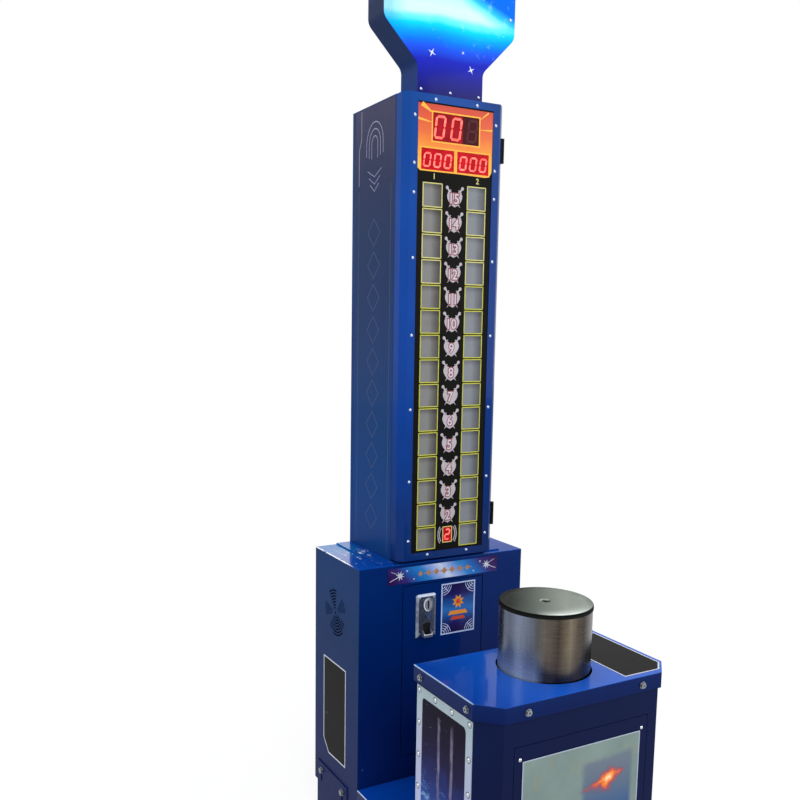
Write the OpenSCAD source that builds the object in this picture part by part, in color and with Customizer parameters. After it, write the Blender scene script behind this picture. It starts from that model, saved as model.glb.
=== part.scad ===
// Strength tester machine. A low steel chassis carries a cabinet with a tall score
// tower and a light box header, and in front of it a pedestal with a sprung target.
// Millimetres. X runs left to right, +Y to the back, +Z up, and Z = 0 is the floor.

/* [Chassis and deck] */
// Height of the chassis above the floor, set by the levelling feet
foot_h = 20; // [12:1:40]
// Width of the chassis tube
rail_w = 40; // [30:1:60]
// Height of the chassis tube
rail_h = 80; // [60:1:100]
// Wall of the chassis tube
rail_wall = 3; // [2:0.5:5]
// How far the chassis ends in front of the cabinet's back
rear_step = 27; // [5:1:60]
// Height of the deck box on the chassis
deck_h = 97; // [60:1:140]
// Sheet of the deck box
deck_t = 3; // [2:0.5:5]
// Open deck between the cabinet and the pedestal
gap_d = 325; // [300:5:420]
// Radius of a foot's pad
pad_r = 25; // [18:1:32]

/* [Cabinet] */
// Width of the cabinet and of the pedestal
cab_w = 560; // [520:1:640]
// Depth of the cabinet
cab_d = 295; // [270:1:360]
// Height of the cabinet's shell
cab_h = 750; // [700:1:820]
// Sheet steel of cabinet, tower, header and pedestal
sheet = 2; // [1.5:0.1:3]
// Width of the coin door
door_w = 274; // [240:1:290]
// Height of the coin door
door_h = 515; // [420:1:520]
// From the cabinet's top down to the coin door
door_drop = 67; // [65:1:90]
// Gap around the coin door
door_gap = 2.5; // [2.3:0.1:4]
// Depth of the coin door's turned edges
door_lip = 15; // [10:1:18]
// Width of the sign plate
sign_w = 378; // [300:1:420]
// Height of the sign plate
sign_h = 47; // [30:1:48]
// From the cabinet's top down to the sign plate
sign_drop = 10; // [6:1:14]

/* [Coin unit] */
// Width of the coin unit's face plate
coin_w = 67; // [60:1:74]
// Height of the coin unit's face plate
coin_h = 129; // [124:1:140]
// Middle of the coin unit, left of the door's middle
coin_x = 61; // [50:1:70]
// From the top of the door down to the face plate
coin_drop = 30; // [24:1:60]
// Radius of the reject button
button_r = 8; // [6:0.5:9]
// Travel of the reject button
button_travel = 4; // [2:0.5:6]

/* [Tower] */
// Width of the tower
tower_w = 326; // [310:1:340]
// Height of the tower above its mounting plate
tower_h = 1291; // [1270:1:1400]
// Thickness of the tower's mounting plate
mount_t = 4; // [3:0.5:8]
// How far the door stands in front of the cabinet
door_proud = 14; // [2:1:20]
// Depth of the tower's door
tower_door_d = 47; // [40:1:52]
// Bevel of the door's front corners
tower_bevel = 18; // [10:1:20]
// Width of the window in the tower's door
glass_w = 244; // [240:1:252]
// From the tower's foot up to the window
glass_low = 28; // [26:1:32]
// From the tower's top down to the window
glass_drop = 22; // [20:1:30]
// Number of score rows
row_n = 15; // [8:1:15]
// Middle of the lowest row above the tower's foot
row_first = 67; // [66:1:72]
// Middle of a lamp column from the tower's middle
column_x = 72; // [68:1:76]
// Width of a lamp window
pane_w = 58; // [50:1:66]
// Gap between two lamp windows of a column
pane_gap = 5; // [3:1:16]

/* [Header] */
// Width of the header's neck
neck_w = 212; // [180:1:260]
// Height of the neck's straight part
neck_h = 85; // [60:1:110]
// Width of the header
head_w = 422; // [380:1:480]
// Height of the header
head_h = 360; // [340:1:420]
// Depth of the header's case
head_d = 88; // [70:1:110]
// How far the case stands behind the cabinet's front
head_back = 24; // [22:1:60]

/* [Pedestal] */
// Depth of the pedestal
ped_d = 296; // [284:1:340]
// Height of the lid's top above the deck
ped_h = 494; // [470:1:560]
// Overhang of the lid
lid_over = 7; // [5:1:14]
// Depth of the lid's skirt
lid_skirt = 37; // [32:1:44]
// Bevel of the lid's front corners
lid_bevel = 52; // [40:1:56]
// Plate of the lid
lid_t = 3; // [2:0.5:5]
// Width of the front cover
cover_w = 402; // [360:1:420]
// Height of the front cover
cover_h = 360; // [320:1:380]

/* [Target] */
// Radius of the drum
drum_r = 114; // [105:1:116]
// Wall of the drum
drum_wall = 4; // [3:0.5:6]
// Height of the striking face above the lid
strike_h = 167; // [150:1:180]
// Thickness of the striking disc
disc_t = 5; // [4:1:12]
// Thickness of the rubber pad
pad_t = 6; // [5:1:12]
// Travel of the target
travel = 45; // [30:1:50]
// Radius of the plunger
plunger_r = 20; // [16:1:22]
// Radial clearance of the plunger in its bushes
plunger_fit = 0.05; // [0.02:0.01:0.1]
// Gap around the drum in the lid
drum_gap = 4; // [3:1:8]
// How far the target stands behind the pedestal's middle
target_back = 8; // [0:1:10]
// Turns of the return spring
spring_turns = 10; // [7:1:12]

/* [Hidden] */
$fn = 48;
eps = 0.5;
seat = 0.3;

// Places along Y, with the machine centred on Y = 0
half_w = cab_w / 2;
total_d = cab_d + gap_d + ped_d + lid_over;
cab_back = total_d / 2;
cab_front = cab_back - cab_d;
ped_back = cab_front - gap_d;
ped_front = ped_back - ped_d;
frame_rear = cab_back - rear_step;
target_y = (ped_front + ped_back) / 2 + target_back;

// Heights above the floor
rail_top = foot_h + rail_h;
deck_z = rail_top + deck_h;
cab_top = rail_top + cab_h;
tower_foot = cab_top + mount_t;
tower_top = tower_foot + tower_h;
lid_z = deck_z + ped_h;
skirt_z = lid_z - lid_t - lid_skirt;
strike_z = lid_z + strike_h;
door_top = cab_top - door_drop;
door_bottom = door_top - door_h;

// Steel fasteners
bolt_r = 5;
bolt_hole_r = 5.5;
bolt_head_h = 5;
bolt_head_r = 9.2;
washer_r = 10;
washer_t = 2;
screw_r = 2;
screw_hole_r = 2.3;
screw_head_r = 4.5;
screw_head_h = 2.4;
frame_head_r = 6.5;
frame_head_h = 3;
small_head_r = 3.2;
small_head_h = 1.6;

// Tie plates that hold the cabinet to the chassis
tie_t = 4;
tie_d = 206;
tie_top = rail_top + 72;
tie_low = foot_h + 2;
tie_bolt_y = [frame_rear - 31, frame_rear - 178];
tie_bolt_high = rail_top + 47;
tie_bolt_low = foot_h + 10;
tie_slot = 30;

// Tower door
tower_half = tower_w / 2;
tower_front = cab_front - door_proud;
tower_seam = tower_front + tower_door_d;
shell_front = tower_seam + 1;
door_lift = 7;
tower_door_low = tower_foot + door_lift;
tower_door_top = tower_top - 1;
glass_z0 = tower_foot + glass_low;
glass_z1 = tower_top - glass_drop;
panel_t = 4;
panel_half = tower_half - tower_bevel - 5;
panel_z0 = glass_z0 - 14;
panel_z1 = glass_z1 + 16;
panel_y0 = tower_front + sheet;
panel_y1 = panel_y0 + panel_t;
edge_screw_x = glass_w / 2 + 9.5;
edge_screw_share = [0.0503, 0.1828, 0.3408, 0.5004, 0.6631, 0.7978, 0.8575, 0.9535];
edge_screw_z = [for (k = edge_screw_share) k * tower_h];
end_screw_x = 67;
end_screw_off = 8;

// Hinges of the tower door, on its right side
hinge_len = 68;
hinge_r = 7;
hinge_pin_r = 3.5;
hinge_fit = 0.05;
hinge_x = tower_half + hinge_r + 0.5;
hinge_set = 25;
hinge_y = tower_front + hinge_set;
leaf_gap = 0.2;
hinge_z = [tower_foot + 83, tower_foot + tower_h - 155];
leaf_t = 2.5;

// Lamps and displays behind the scoreboard
lamp_d = 24;
lamp_wall = 2;
board_t = 1.6;
display_room = 264;
row_pitch = (tower_h - display_room - row_first) / (row_n - 1);
pane_h = row_pitch - pane_gap;
row_top = tower_foot + row_first + (row_n - 1) * row_pitch;
score_w = 151;
score_h = 75;
score_z = glass_z1 - 62;
record_w = 104;
record_h = 52;
record_x = 60;
record_z = glass_z1 - 147;
credit_w = 32;
credit_h = 45;
display_d = 18;

// Pivot of the coin door, near its left front corner
door_half = door_w / 2;
pivot_in = 5;
pivot_x = -door_half + pivot_in;
pivot_y = cab_front + pivot_in;
pivot_r = 2.5;
pivot_fit = 0.05;

// Coin unit
coin_t = 7;
coin_top = door_top - coin_drop;
coin_low = coin_top - coin_h;
coin_cut_in = 3;
coin_bevel = 7;
coin_bevel_d = 4.5;
coin_corner = 8;
entry_x = -coin_x + 4;
entry_z = coin_top - 31;
entry_r = 16;
entry_rise = 4;
scoop_d = 13;
scoop_t = 2;
scoop_lip = 9;
scoop_h = 20;
button_z = coin_top - 64;
button_fit = 0.08;
cup_w = 24;
cup_h = 38;
cup_z = coin_top - 105;
cup_wall = 2;
cup_floor = 1.5;
cup_d = 40;
flap_t = 1.6;
flap_pin_r = 1.5;
flap_y = cab_front - 3;
flap_z = cup_z + cup_h / 2 - 3;
lock_x = door_half - 25;
lock_z = door_bottom + 203;
lock_r = 9.5;
plug_r = 6;
plug_fit = 0.05;
cam_y = cab_front + door_lip + 3;
cam_t = 3;
cam_len = 32;
keeper_h = 40;

// Pedestal
lid_half = half_w + lid_over;
lid_front = ped_front - lid_over;
lid_back = ped_back + lid_over;
skirt_t = 2.5;
ped_bevel = lid_bevel - lid_over * (2 - sqrt(2));
cover_low = deck_z + 29;
cover_gap = 1.5;
cover_lip = 40;
frame_t = 2;
frame_in = 3;
frame_y0 = ped_front + ped_bevel + frame_in;
frame_y1 = ped_back - frame_in;
frame_z0 = deck_z + 4;
frame_z1 = skirt_z - 7;
window_in = 25;
window_r = 12;
pane_t = 1.2;
frame_screw_in = 11;
frame_rows = 6;
frame_columns = 4;
lid_bolt_z = skirt_z + 18;
lid_bolt_y = [ped_back - 27, ped_front + ped_bevel + 19];
lid_bolt_x = 172;
lid_bolt_r = 4;
ped_inner_z = lid_z - lid_t;

// Target mechanism
base_t = 12;
base_w = 300;
base_d = 230;
base_z = deck_z + base_t;
flange_r = 90;
flange_t = 10;
flange_pcd = 152;
column_in = plunger_r + 10;
column_out = column_in + 7;
column_drop = 126;
column_top = lid_z - column_drop;
bush_h = 40;
bush_up = 103;
bush_low = deck_z + bush_up;
collar_r = 64;
collar_t = 12;
bump_h = 30;
collar_z = column_top + bump_h + travel + seat;
drum_top = strike_z - disc_t - pad_t;
drum_hang = 131;
drum_low = lid_z - drum_hang;
web_t = 10;
disc_r = drum_r + 1;
rubber_r = drum_r + 1.5;
top_hole_r = 12;
top_head_h = 7;
top_socket = 5;
top_socket_r = 5;
plunger_flange_r = 60;
plunger_flange_t = 12;
plunger_top = drum_top - web_t;
plunger_low = bush_low - seat;
top_bolt_r = 6;
low_bolt_r = 5;
top_bolt_in = 36;
low_bolt_in = 36;
end_disc_r = column_in - 3;
end_disc_t = 10;
wire_r = 5;
spring_r = column_out + 13;
spring_low = base_z + flange_t + wire_r + seat;
spring_high = collar_z - wire_r - seat;
spring_steps = 16;
spring_sides = 6;

// A box between two corners
module slab(lo, hi) {
    translate(lo) cube(hi - lo);
}

// A rectangular tube between two corners along the given axis, its ends open or capped
module tube_bar(lo, hi, wall, along, capped) {
    grow = [for (i = [0:2]) i == along && !capped ? -1 : wall];
    difference() {
        slab(lo, hi);
        slab(lo + grow, hi - grow);
    }
}

// A round bar along Y that starts at p
module rod_y(p, r, len) {
    translate(p) rotate([-90, 0, 0]) cylinder(r = r, h = len);
}

// A round bar along X that starts at p
module rod_x(p, r, len) {
    translate(p) rotate([0, 90, 0]) cylinder(r = r, h = len);
}

// A shape and its mirror image across the machine's middle
module both_sides() {
    children();
    mirror([1, 0, 0]) children();
}

// Dome headed screw, its head on Z = 0 and its shank below
module dome_screw(len, head_r = screw_head_r, head_h = screw_head_h) {
    ball_r = (head_r * head_r + head_h * head_h) / (2 * head_h);
    intersection() {
        translate([0, 0, head_h - ball_r]) sphere(r = ball_r);
        cylinder(r = head_r, h = head_h + 1);
    }
    translate([0, 0, -len]) cylinder(r = screw_r, h = len + eps);
}

// Hex bolt with a washer, the washer on Z = 0 and the shank below
module hex_bolt(len) {
    cylinder(r = washer_r, h = washer_t);
    translate([0, 0, washer_t]) cylinder(r = bolt_head_r, h = bolt_head_h, $fn = 6);
    translate([0, 0, -len]) cylinder(r = bolt_r, h = len + eps);
}

// Turns +Z into the outward direction of a panel: left, right, front or back
module facing(side) {
    turn = side == "left" ? [0, -90, 0] : side == "right" ? [0, 90, 0]
        : side == "front" ? [90, 0, 0] : [-90, 0, 0];
    rotate(turn) children();
}

// Plan with bevelled front corners, drawn inside the given lines by inset
function bevel_plan(half, front, back, bevel, inset) =
    let (h = half - inset, f = front + inset, b = back - inset,
        c = bevel - inset * (2 - sqrt(2)))
    [[-h, b], [-h, f + c], [-h + c, f], [h - c, f], [h, f + c], [h, b]];

// Points of an arc of radius r about c, from angle a0 to a1
function arc(c, r, a0, a1, n = 8) =
    [for (i = [0:n]) c + r * [cos(a0 + (a1 - a0) * i / n), sin(a0 + (a1 - a0) * i / n)]];

// Outline of the header: a neck that flares at 45 degrees into the light box
function header_plan(inset) =
    let (n = neck_w / 2 - inset, h = head_w / 2 - inset,
        z0 = inset, z1 = neck_h, top = head_h - inset,
        r_in = 30 + inset, r_out = 34 - inset, r_top = 60 - inset,
        k = tan(22.5), flare = h - n,
        right = concat([[n, z0]],
            arc([n + r_in, z1 - r_in * k], r_in, 180, 135),
            arc([h - r_out, z1 + flare + r_out * k], r_out, -45, 0),
            arc([h - r_top, top - r_top], r_top, 0, 90, 12)))
    concat(right, [for (i = [len(right) - 1:-1:0]) [-right[i][0], right[i][1]]]);

// Chassis: two long rails and four cross tubes
cross_y = [ped_front, ped_back - rail_w, cab_front, frame_rear - rail_w];
foot_y = [ped_front + 30, frame_rear - 90];

module chassis_frame() {
    color("midnightblue")
    difference() {
        union() {
            both_sides()
                tube_bar([-half_w, ped_front, foot_h],
                    [-half_w + rail_w, frame_rear, rail_top], rail_wall, 1, true);
            for (y = cross_y)
                tube_bar([-half_w + rail_w, y, foot_h],
                    [half_w - rail_w, y + rail_w, rail_top], rail_wall, 0, false);
        }
        both_sides() {
            for (y = foot_y)
                translate([-half_w + rail_w / 2, y, foot_h - 1])
                    cylinder(r = 5.2, h = rail_wall + 2);
            for (y = tie_bolt_y)
                rod_x([-half_w - 1, y, tie_bolt_low], bolt_hole_r, rail_wall + 2);
        }
    }
}

// Deck box: top sheet on skirts and ribs, standing on the rails
rib_x = 150;

module deck_box() {
    color("navy")
    difference() {
        union() {
            slab([-half_w, ped_front, deck_z - deck_t], [half_w, cab_front, deck_z]);
            both_sides() {
                slab([-half_w, ped_front, rail_top],
                    [-half_w + deck_t, cab_front, deck_z - deck_t + eps]);
                slab([-rib_x - deck_t, ped_front + deck_t, rail_top],
                    [-rib_x, cab_front - deck_t, deck_z - deck_t + eps]);
            }
            for (y = [ped_front, ped_back - deck_t, cab_front - deck_t])
                slab([-half_w + deck_t / 2, y, rail_top],
                    [half_w - deck_t / 2, y + deck_t, deck_z - deck_t + eps]);
        }
        for (x = [-1, 1], y = [-1, 1])
            translate([x * flange_pcd / 2 * sin(45), target_y + y * flange_pcd / 2 * sin(45),
                deck_z - deck_t - 1]) cylinder(r = bolt_hole_r, h = deck_t + 2);
        for (x = [-1, 1], y = ped_foot_y)
            translate([x * ped_foot_x, y, deck_z - deck_t - 1])
                cylinder(r = bolt_hole_r, h = deck_t + 2);
    }
}

// Levelling feet: pad, stud and lock nut in one piece each
module levelling_feet() {
    color("dimgray")
    both_sides() for (y = foot_y) translate([-half_w + rail_w / 2, y, 0]) {
        cylinder(r = pad_r, h = 5);
        translate([0, 0, 5]) cylinder(r1 = pad_r, r2 = 9, h = 4);
        cylinder(r = 5, h = foot_h + 22);
        translate([0, 0, foot_h - 6]) cylinder(r = 9, h = 6, $fn = 6);
    }
}

// Plates outside the cabinet's foot, slotted for the upper bolts
module tie_plates() {
    color("navy")
    both_sides() difference() {
        slab([-half_w - tie_t, frame_rear - tie_d, tie_low], [-half_w, frame_rear, tie_top]);
        for (y = tie_bolt_y) {
            rod_x([-half_w - tie_t - 1, y, tie_bolt_low], bolt_hole_r, tie_t + 2);
            rod_x([-half_w - tie_t - 1, y, tie_bolt_high], bolt_hole_r, tie_t + 2);
            rod_x([-half_w - tie_t - 1, y, tie_bolt_high - tie_slot], bolt_hole_r, tie_t + 2);
            slab([-half_w - tie_t - 1, y - bolt_hole_r, tie_bolt_high - tie_slot],
                [-half_w + 1, y + bolt_hole_r, tie_bolt_high]);
        }
    }
}

// Hex bolts of the tie plates, the guide column, the pedestal and the tower
ped_foot_x = half_w - sheet - 14;
ped_foot_y = [ped_back - 60, ped_front + ped_bevel + 50];
tower_bolt_x = tower_half - 16;
tower_bolt_y = [shell_front + 70, cab_back - 60];

module frame_bolts() {
    color("silver") {
        both_sides() for (y = tie_bolt_y, z = [tie_bolt_low, tie_bolt_high])
            translate([-half_w - tie_t, y, z]) facing("left") hex_bolt(tie_t + 12);
        for (x = [-1, 1], y = [-1, 1])
            translate([x * flange_pcd / 2 * sin(45), target_y + y * flange_pcd / 2 * sin(45),
                base_z + flange_t]) hex_bolt(flange_t + base_t + deck_t + 6);
        for (x = [-1, 1], y = ped_foot_y)
            translate([x * ped_foot_x, y, deck_z + sheet]) hex_bolt(sheet + deck_t + 6);
        for (x = [-1, 1], y = tower_bolt_y)
            translate([x * tower_bolt_x, y, tower_foot + sheet])
                hex_bolt(2 * sheet + mount_t + 6);
    }
}

// Grille of curved slots in four fans round a hole, cut along X
grille_slot = 4.4;
grille_step = 8.7;
grille_first = 14.5;
grille_reach = 90;
grille_y = cab_front + 152;
grille_z = cab_top - 168;

// One fan: its middle and half width are angles from the cabinet's front
module grille_fan(slots, middle, half) {
    for (i = slots) intersection() {
        difference() {
            circle(r = grille_first + i * grille_step + grille_slot / 2);
            circle(r = grille_first + i * grille_step - grille_slot / 2);
        }
        polygon(concat([[0, 0]], [for (t = [-1:0.5:1])
            grille_reach * [-cos(middle + t * half), sin(middle + t * half)]]));
    }
}

module grille_cut(x) {
    translate([x, grille_y, grille_z]) rotate([90, 0, 90])
        linear_extrude(height = 2 * sheet + 2, center = true) {
            circle(r = grille_slot);
            grille_fan([0:6], 108, 23);
            grille_fan([1:6], 33, 19);
            grille_fan([1:6], 183, 19);
            grille_fan([0:5], 288, 58);
            grille_fan([6], 288, 30);
        }
}

// Cabinet side: sheet with a turned back edge, seen from the left
module cabinet_side() {
    difference() {
        union() {
            slab([-half_w, cab_front, rail_top],
                [-half_w + sheet, cab_back - sheet, cab_top - sheet]);
            slab([-half_w + sheet / 2, cab_back - 2 * sheet, rail_top],
                [-half_w + 24, cab_back - sheet, cab_top - sheet]);
        }
        grille_cut(-half_w + sheet / 2);
        for (y = tie_bolt_y)
            rod_x([-half_w - 1, y, tie_bolt_high], bolt_hole_r, 30);
        for (z = back_screw_z)
            rod_y([-half_w + back_screw_in, cab_back - 3 * sheet, z], screw_hole_r, 4 * sheet);
    }
}

module cabinet_left_side() {
    color("royalblue") cabinet_side();
}

module cabinet_right_side() {
    color("royalblue") mirror([1, 0, 0]) cabinet_side();
}

// Back cover with louvres and the cut-out of the mains inlet
back_screw_in = 14;
back_screw_n = 5;
back_screw_z = [for (i = [0:back_screw_n - 1])
    rail_top + 30 + i * (cab_h - 2 * sheet - 60) / (back_screw_n - 1)];
inlet_x = half_w - 80;
inlet_z = rail_top + 70;
inlet_w = 30;
inlet_h = 62;
louvre_n = 6;

module cabinet_back() {
    color("royalblue")
    difference() {
        slab([-half_w, cab_back - sheet, rail_top], [half_w, cab_back, cab_top - sheet]);
        both_sides() for (z = back_screw_z)
            rod_y([-half_w + back_screw_in, cab_back - 2 * sheet, z], screw_hole_r, 4 * sheet);
        slab([inlet_x - inlet_w / 2, cab_back - 2 * sheet, inlet_z - inlet_h / 2],
            [inlet_x + inlet_w / 2, cab_back + sheet, inlet_z + inlet_h / 2]);
        for (i = [0:louvre_n - 1], x = [-70, 70])
            slab([x - 50, cab_back - 2 * sheet, rail_top + 420 + i * 20],
                [x + 50, cab_back + sheet, rail_top + 426 + i * 20]);
    }
}

front_screw_in = 17;
front_screw_up = 154;

// Front sheet with the coin door's opening, its two pivot tabs and the cam's keeper
module pivot_tab(z, up) {
    slab([pivot_x - 6, cab_front + sheet / 2, z], [pivot_x + 8, pivot_y + 7, z + 7]);
    translate([pivot_x, pivot_y, up ? z + 3 : z - 11]) cylinder(r = pivot_r, h = 15);
}

module cabinet_front() {
    color("royalblue")
    difference() {
        union() {
            difference() {
                slab([-half_w + sheet, cab_front, rail_top],
                    [half_w - sheet, cab_front + sheet, cab_top - sheet]);
                slab([-door_half - door_gap, cab_front - 1, door_bottom - door_gap],
                    [door_half + door_gap, cab_front + sheet + 1, door_top + door_gap]);
            }
            slab([door_half + door_gap, cab_front, lock_z - keeper_h],
                [door_half + door_gap + sheet, cam_y - eps, lock_z + keeper_h]);
            pivot_tab(door_top + door_gap + 0.5, false);
            pivot_tab(door_bottom - door_gap - 7.5, true);
            translate([pivot_x, pivot_y, door_bottom - door_gap - 1])
                cylinder(r = 4, h = door_gap + 1 - seat);
        }
        both_sides() rod_y([-half_w + front_screw_in, cab_front - 1, rail_top + front_screw_up],
            screw_hole_r, sheet + 2);
    }
}

// Top sheet, open under the tower for its wiring
wire_w = 200;
wire_d = 120;
wire_y = (shell_front + cab_back) / 2 - wire_d / 2;

module cabinet_top() {
    color("royalblue")
    difference() {
        slab([-half_w, cab_front, cab_top - sheet], [half_w, cab_back, cab_top]);
        slab([-wire_w / 2, wire_y, cab_top - 2 * sheet],
            [wire_w / 2, wire_y + wire_d, cab_top + 1]);
        for (x = [-1, 1], y = tower_bolt_y)
            translate([x * tower_bolt_x, y, cab_top - sheet - 1])
                cylinder(r = bolt_hole_r, h = sheet + 2);
    }
}

module cabinet_floor() {
    color("navy")
    slab([-half_w + sheet, cab_front + sheet, rail_top],
        [half_w - sheet, cab_back - 2 * sheet, rail_top + sheet]);
}

sign_t = 1.5;

module sign_plate() {
    color("deepskyblue")
    slab([-sign_w / 2, cab_front - sign_t, cab_top - sign_drop - sign_h],
        [sign_w / 2, cab_front, cab_top - sign_drop]);
}

// Cash box: an open steel box with a turned rim and a handle loop
cash_w = 170;
cash_d = 160;
cash_h = 130;
cash_x = -door_half + 15;
cash_y = cab_front + 40;
cash_z = rail_top + sheet;
handle_in = 50;
handle_up = 80;
handle_bar = 6;
handle_d = 28;

module cash_box() {
    color("slategray") {
        difference() {
            slab([cash_x, cash_y, cash_z], [cash_x + cash_w, cash_y + cash_d, cash_z + cash_h]);
            slab([cash_x + sheet, cash_y + sheet, cash_z + sheet],
                [cash_x + cash_w - sheet, cash_y + cash_d - sheet, cash_z + cash_h + 1]);
        }
        for (x = [cash_x + handle_in, cash_x + cash_w - handle_in - handle_bar])
            slab([x, cash_y - handle_d + handle_bar, cash_z + handle_up],
                [x + handle_bar, cash_y + eps, cash_z + handle_up + handle_bar]);
        slab([cash_x + handle_in, cash_y - handle_d, cash_z + handle_up],
            [cash_x + cash_w - handle_in, cash_y - handle_d + handle_bar,
            cash_z + handle_up + handle_bar]);
    }
}

// Loudspeaker on the left side's grille, its axis along X
speaker_r = 82;
speaker_rim = 12;
speaker_flange = 5;
basket_h = 30;
magnet_r = 45;
magnet_h = 22;

module loudspeaker() {
    color("black")
    translate([-half_w + sheet, grille_y, grille_z]) rotate([0, 90, 0]) difference() {
        union() {
            cylinder(r = speaker_r, h = speaker_flange);
            translate([0, 0, speaker_flange])
                cylinder(r1 = speaker_r - 8, r2 = magnet_r - 5, h = basket_h);
            translate([0, 0, speaker_flange + basket_h]) cylinder(r = magnet_r, h = magnet_h);
        }
        translate([0, 0, -1]) cylinder(r = speaker_r - speaker_rim, h = speaker_flange);
        translate([0, 0, speaker_flange - 1])
            cylinder(r1 = speaker_r - speaker_rim, r2 = 20, h = basket_h - 4);
    }
}

psu_x = half_w - 215;
psu_y = cab_front + 110;

module power_supply() {
    color("silver")
    difference() {
        slab([psu_x, psu_y, rail_top + sheet], [psu_x + 100, psu_y + 160, rail_top + sheet + 50]);
        for (i = [0:7])
            slab([psu_x + 15, psu_y + 20 + i * 16, rail_top + sheet + 42],
                [psu_x + 85, psu_y + 28 + i * 16, rail_top + sheet + 51]);
        slab([psu_x + 10, psu_y - 1, rail_top + sheet + 15],
            [psu_x + 90, psu_y + 10, rail_top + sheet + 51]);
    }
}

// Control board on four posts on the right side's inner face
board_x = half_w - sheet;
board_in = 60;
board_up = 330;
board_y = cab_front + board_in;
board_z = rail_top + board_up;
board_w = 180;
board_h = 140;
post_h = 10;

module control_board() {
    color("darkgreen") {
        for (y = [10, board_w - 10], z = [10, board_h - 10])
            rod_x([board_x - post_h - board_t / 2, board_y + y, board_z + z], 3,
                post_h + board_t / 2);
        slab([board_x - post_h - board_t, board_y, board_z],
            [board_x - post_h, board_y + board_w, board_z + board_h]);
        for (i = [0:2])
            slab([board_x - post_h - board_t - 9, board_y + 22 + i * 52, board_z + 50],
                [board_x - post_h - board_t / 2, board_y + 54 + i * 52, board_z + 82]);
        slab([board_x - post_h - board_t - 14, board_y + 15, board_z + 8],
            [board_x - post_h - board_t / 2, board_y + board_w - 15, board_z + 20]);
    }
}

// Mains inlet with the socket above and the rocker's recess below
inlet_flange = 4;
inlet_body_d = 30;
socket_w = 22;
socket_h = 16;
socket_z = inlet_z + 14;
rocker_z = inlet_z - 16;
rocker_w = 20;
rocker_h = 22;
rocker_pin_r = 1.5;
rocker_y = cab_back - 4;

module mains_inlet() {
    color("black")
    difference() {
        union() {
            slab([inlet_x - inlet_w / 2 - inlet_flange, cab_back,
                inlet_z - inlet_h / 2 - inlet_flange],
                [inlet_x + inlet_w / 2 + inlet_flange, cab_back + 3,
                inlet_z + inlet_h / 2 + inlet_flange]);
            slab([inlet_x - inlet_w / 2 + 0.3, cab_back - inlet_body_d,
                inlet_z - inlet_h / 2 + 0.3],
                [inlet_x + inlet_w / 2 - 0.3, cab_back + 1, inlet_z + inlet_h / 2 - 0.3]);
        }
        difference() {
            slab([inlet_x - socket_w / 2, cab_back - 16, socket_z - socket_h / 2],
                [inlet_x + socket_w / 2, cab_back + 4, socket_z + socket_h / 2]);
            for (x = [-7, 0, 7])
                slab([inlet_x + x - 1, cab_back - 17, socket_z + (x == 0 ? 1 : -4)],
                    [inlet_x + x + 1, cab_back - 2, socket_z + (x == 0 ? 5 : 0)]);
        }
        slab([inlet_x - rocker_w / 2 - 0.5, cab_back - 16, rocker_z - rocker_h / 2 - 1],
            [inlet_x + rocker_w / 2 + 0.5, cab_back + 4, rocker_z + rocker_h / 2 + 1]);
        rod_x([inlet_x - rocker_w / 2 - 2.5, rocker_y, rocker_z], rocker_pin_r + 0.05,
            rocker_w + 5);
    }
}

// Rocker key, tilted with its upper half pressed in
rocker_tilt = 9;

module power_rocker() {
    color("red") {
        rod_x([inlet_x - rocker_w / 2 - 2, rocker_y, rocker_z], rocker_pin_r, rocker_w + 4);
        translate([inlet_x, rocker_y, rocker_z]) rotate([rocker_tilt, 0, 0])
            translate([-rocker_w / 2, 0, 0]) rotate([90, 0, 90])
                linear_extrude(height = rocker_w)
                    polygon([[-4, -6], [6, -10.2], [4.4, 0], [6, 10.2], [-4, 6]]);
    }
}

// Plate that spreads the tower's load over the cabinet's top
mount_half = 210;
mount_front = cab_front + 20;

module tower_mount_plate() {
    color("royalblue")
    difference() {
        slab([-mount_half, mount_front, cab_top], [mount_half, cab_back, tower_foot]);
        slab([-wire_w / 2, wire_y, cab_top - 1], [wire_w / 2, wire_y + wire_d, tower_foot + 1]);
        for (x = [-1, 1], y = tower_bolt_y)
            translate([x * tower_bolt_x, y, cab_top - 1])
                cylinder(r = bolt_hole_r, h = mount_t + 2);
    }
}

// Tower shell: sides and back in one sheet, with a cap, front lips and foot flanges
shell_lip = 15;
foot_flange = 32;
cap_hole_r = 20;

module tower_shell() {
    color("royalblue")
    difference() {
        union() {
            slab([-tower_half, cab_back - sheet, tower_foot], [tower_half, cab_back, tower_top]);
            slab([-tower_half, shell_front, tower_top - sheet], [tower_half, cab_back, tower_top]);
            both_sides() {
                slab([-tower_half, shell_front, tower_foot],
                    [-tower_half + sheet, cab_back, tower_top]);
                slab([-tower_half, shell_front, tower_foot],
                    [-tower_half + shell_lip, shell_front + sheet, tower_top]);
                slab([-tower_half, shell_front, tower_foot],
                    [-tower_half + foot_flange, cab_back, tower_foot + sheet]);
            }
        }
        translate([0, head_mid, tower_top - 2 * sheet]) cylinder(r = cap_hole_r, h = 3 * sheet);
        for (x = [-1, 1], y = tower_bolt_y)
            translate([x * tower_bolt_x, y, tower_foot - 1])
                cylinder(r = bolt_hole_r, h = sheet + 2);
    }
}

// Lower hinge halves on the shell, each with the pin that stands up into its mate
module tower_hinge_pins() {
    color("black")
    for (z = hinge_z) {
        translate([hinge_x, hinge_y, z]) cylinder(r = hinge_r, h = hinge_len / 2 - seat / 2);
        translate([hinge_x, hinge_y, z]) cylinder(r = hinge_pin_r, h = hinge_len - 4);
        slab([tower_half + leaf_gap, hinge_y, z],
            [tower_half + leaf_gap + leaf_t, shell_front + 24,
            z + hinge_len / 2 - seat / 2]);
    }
}

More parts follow.
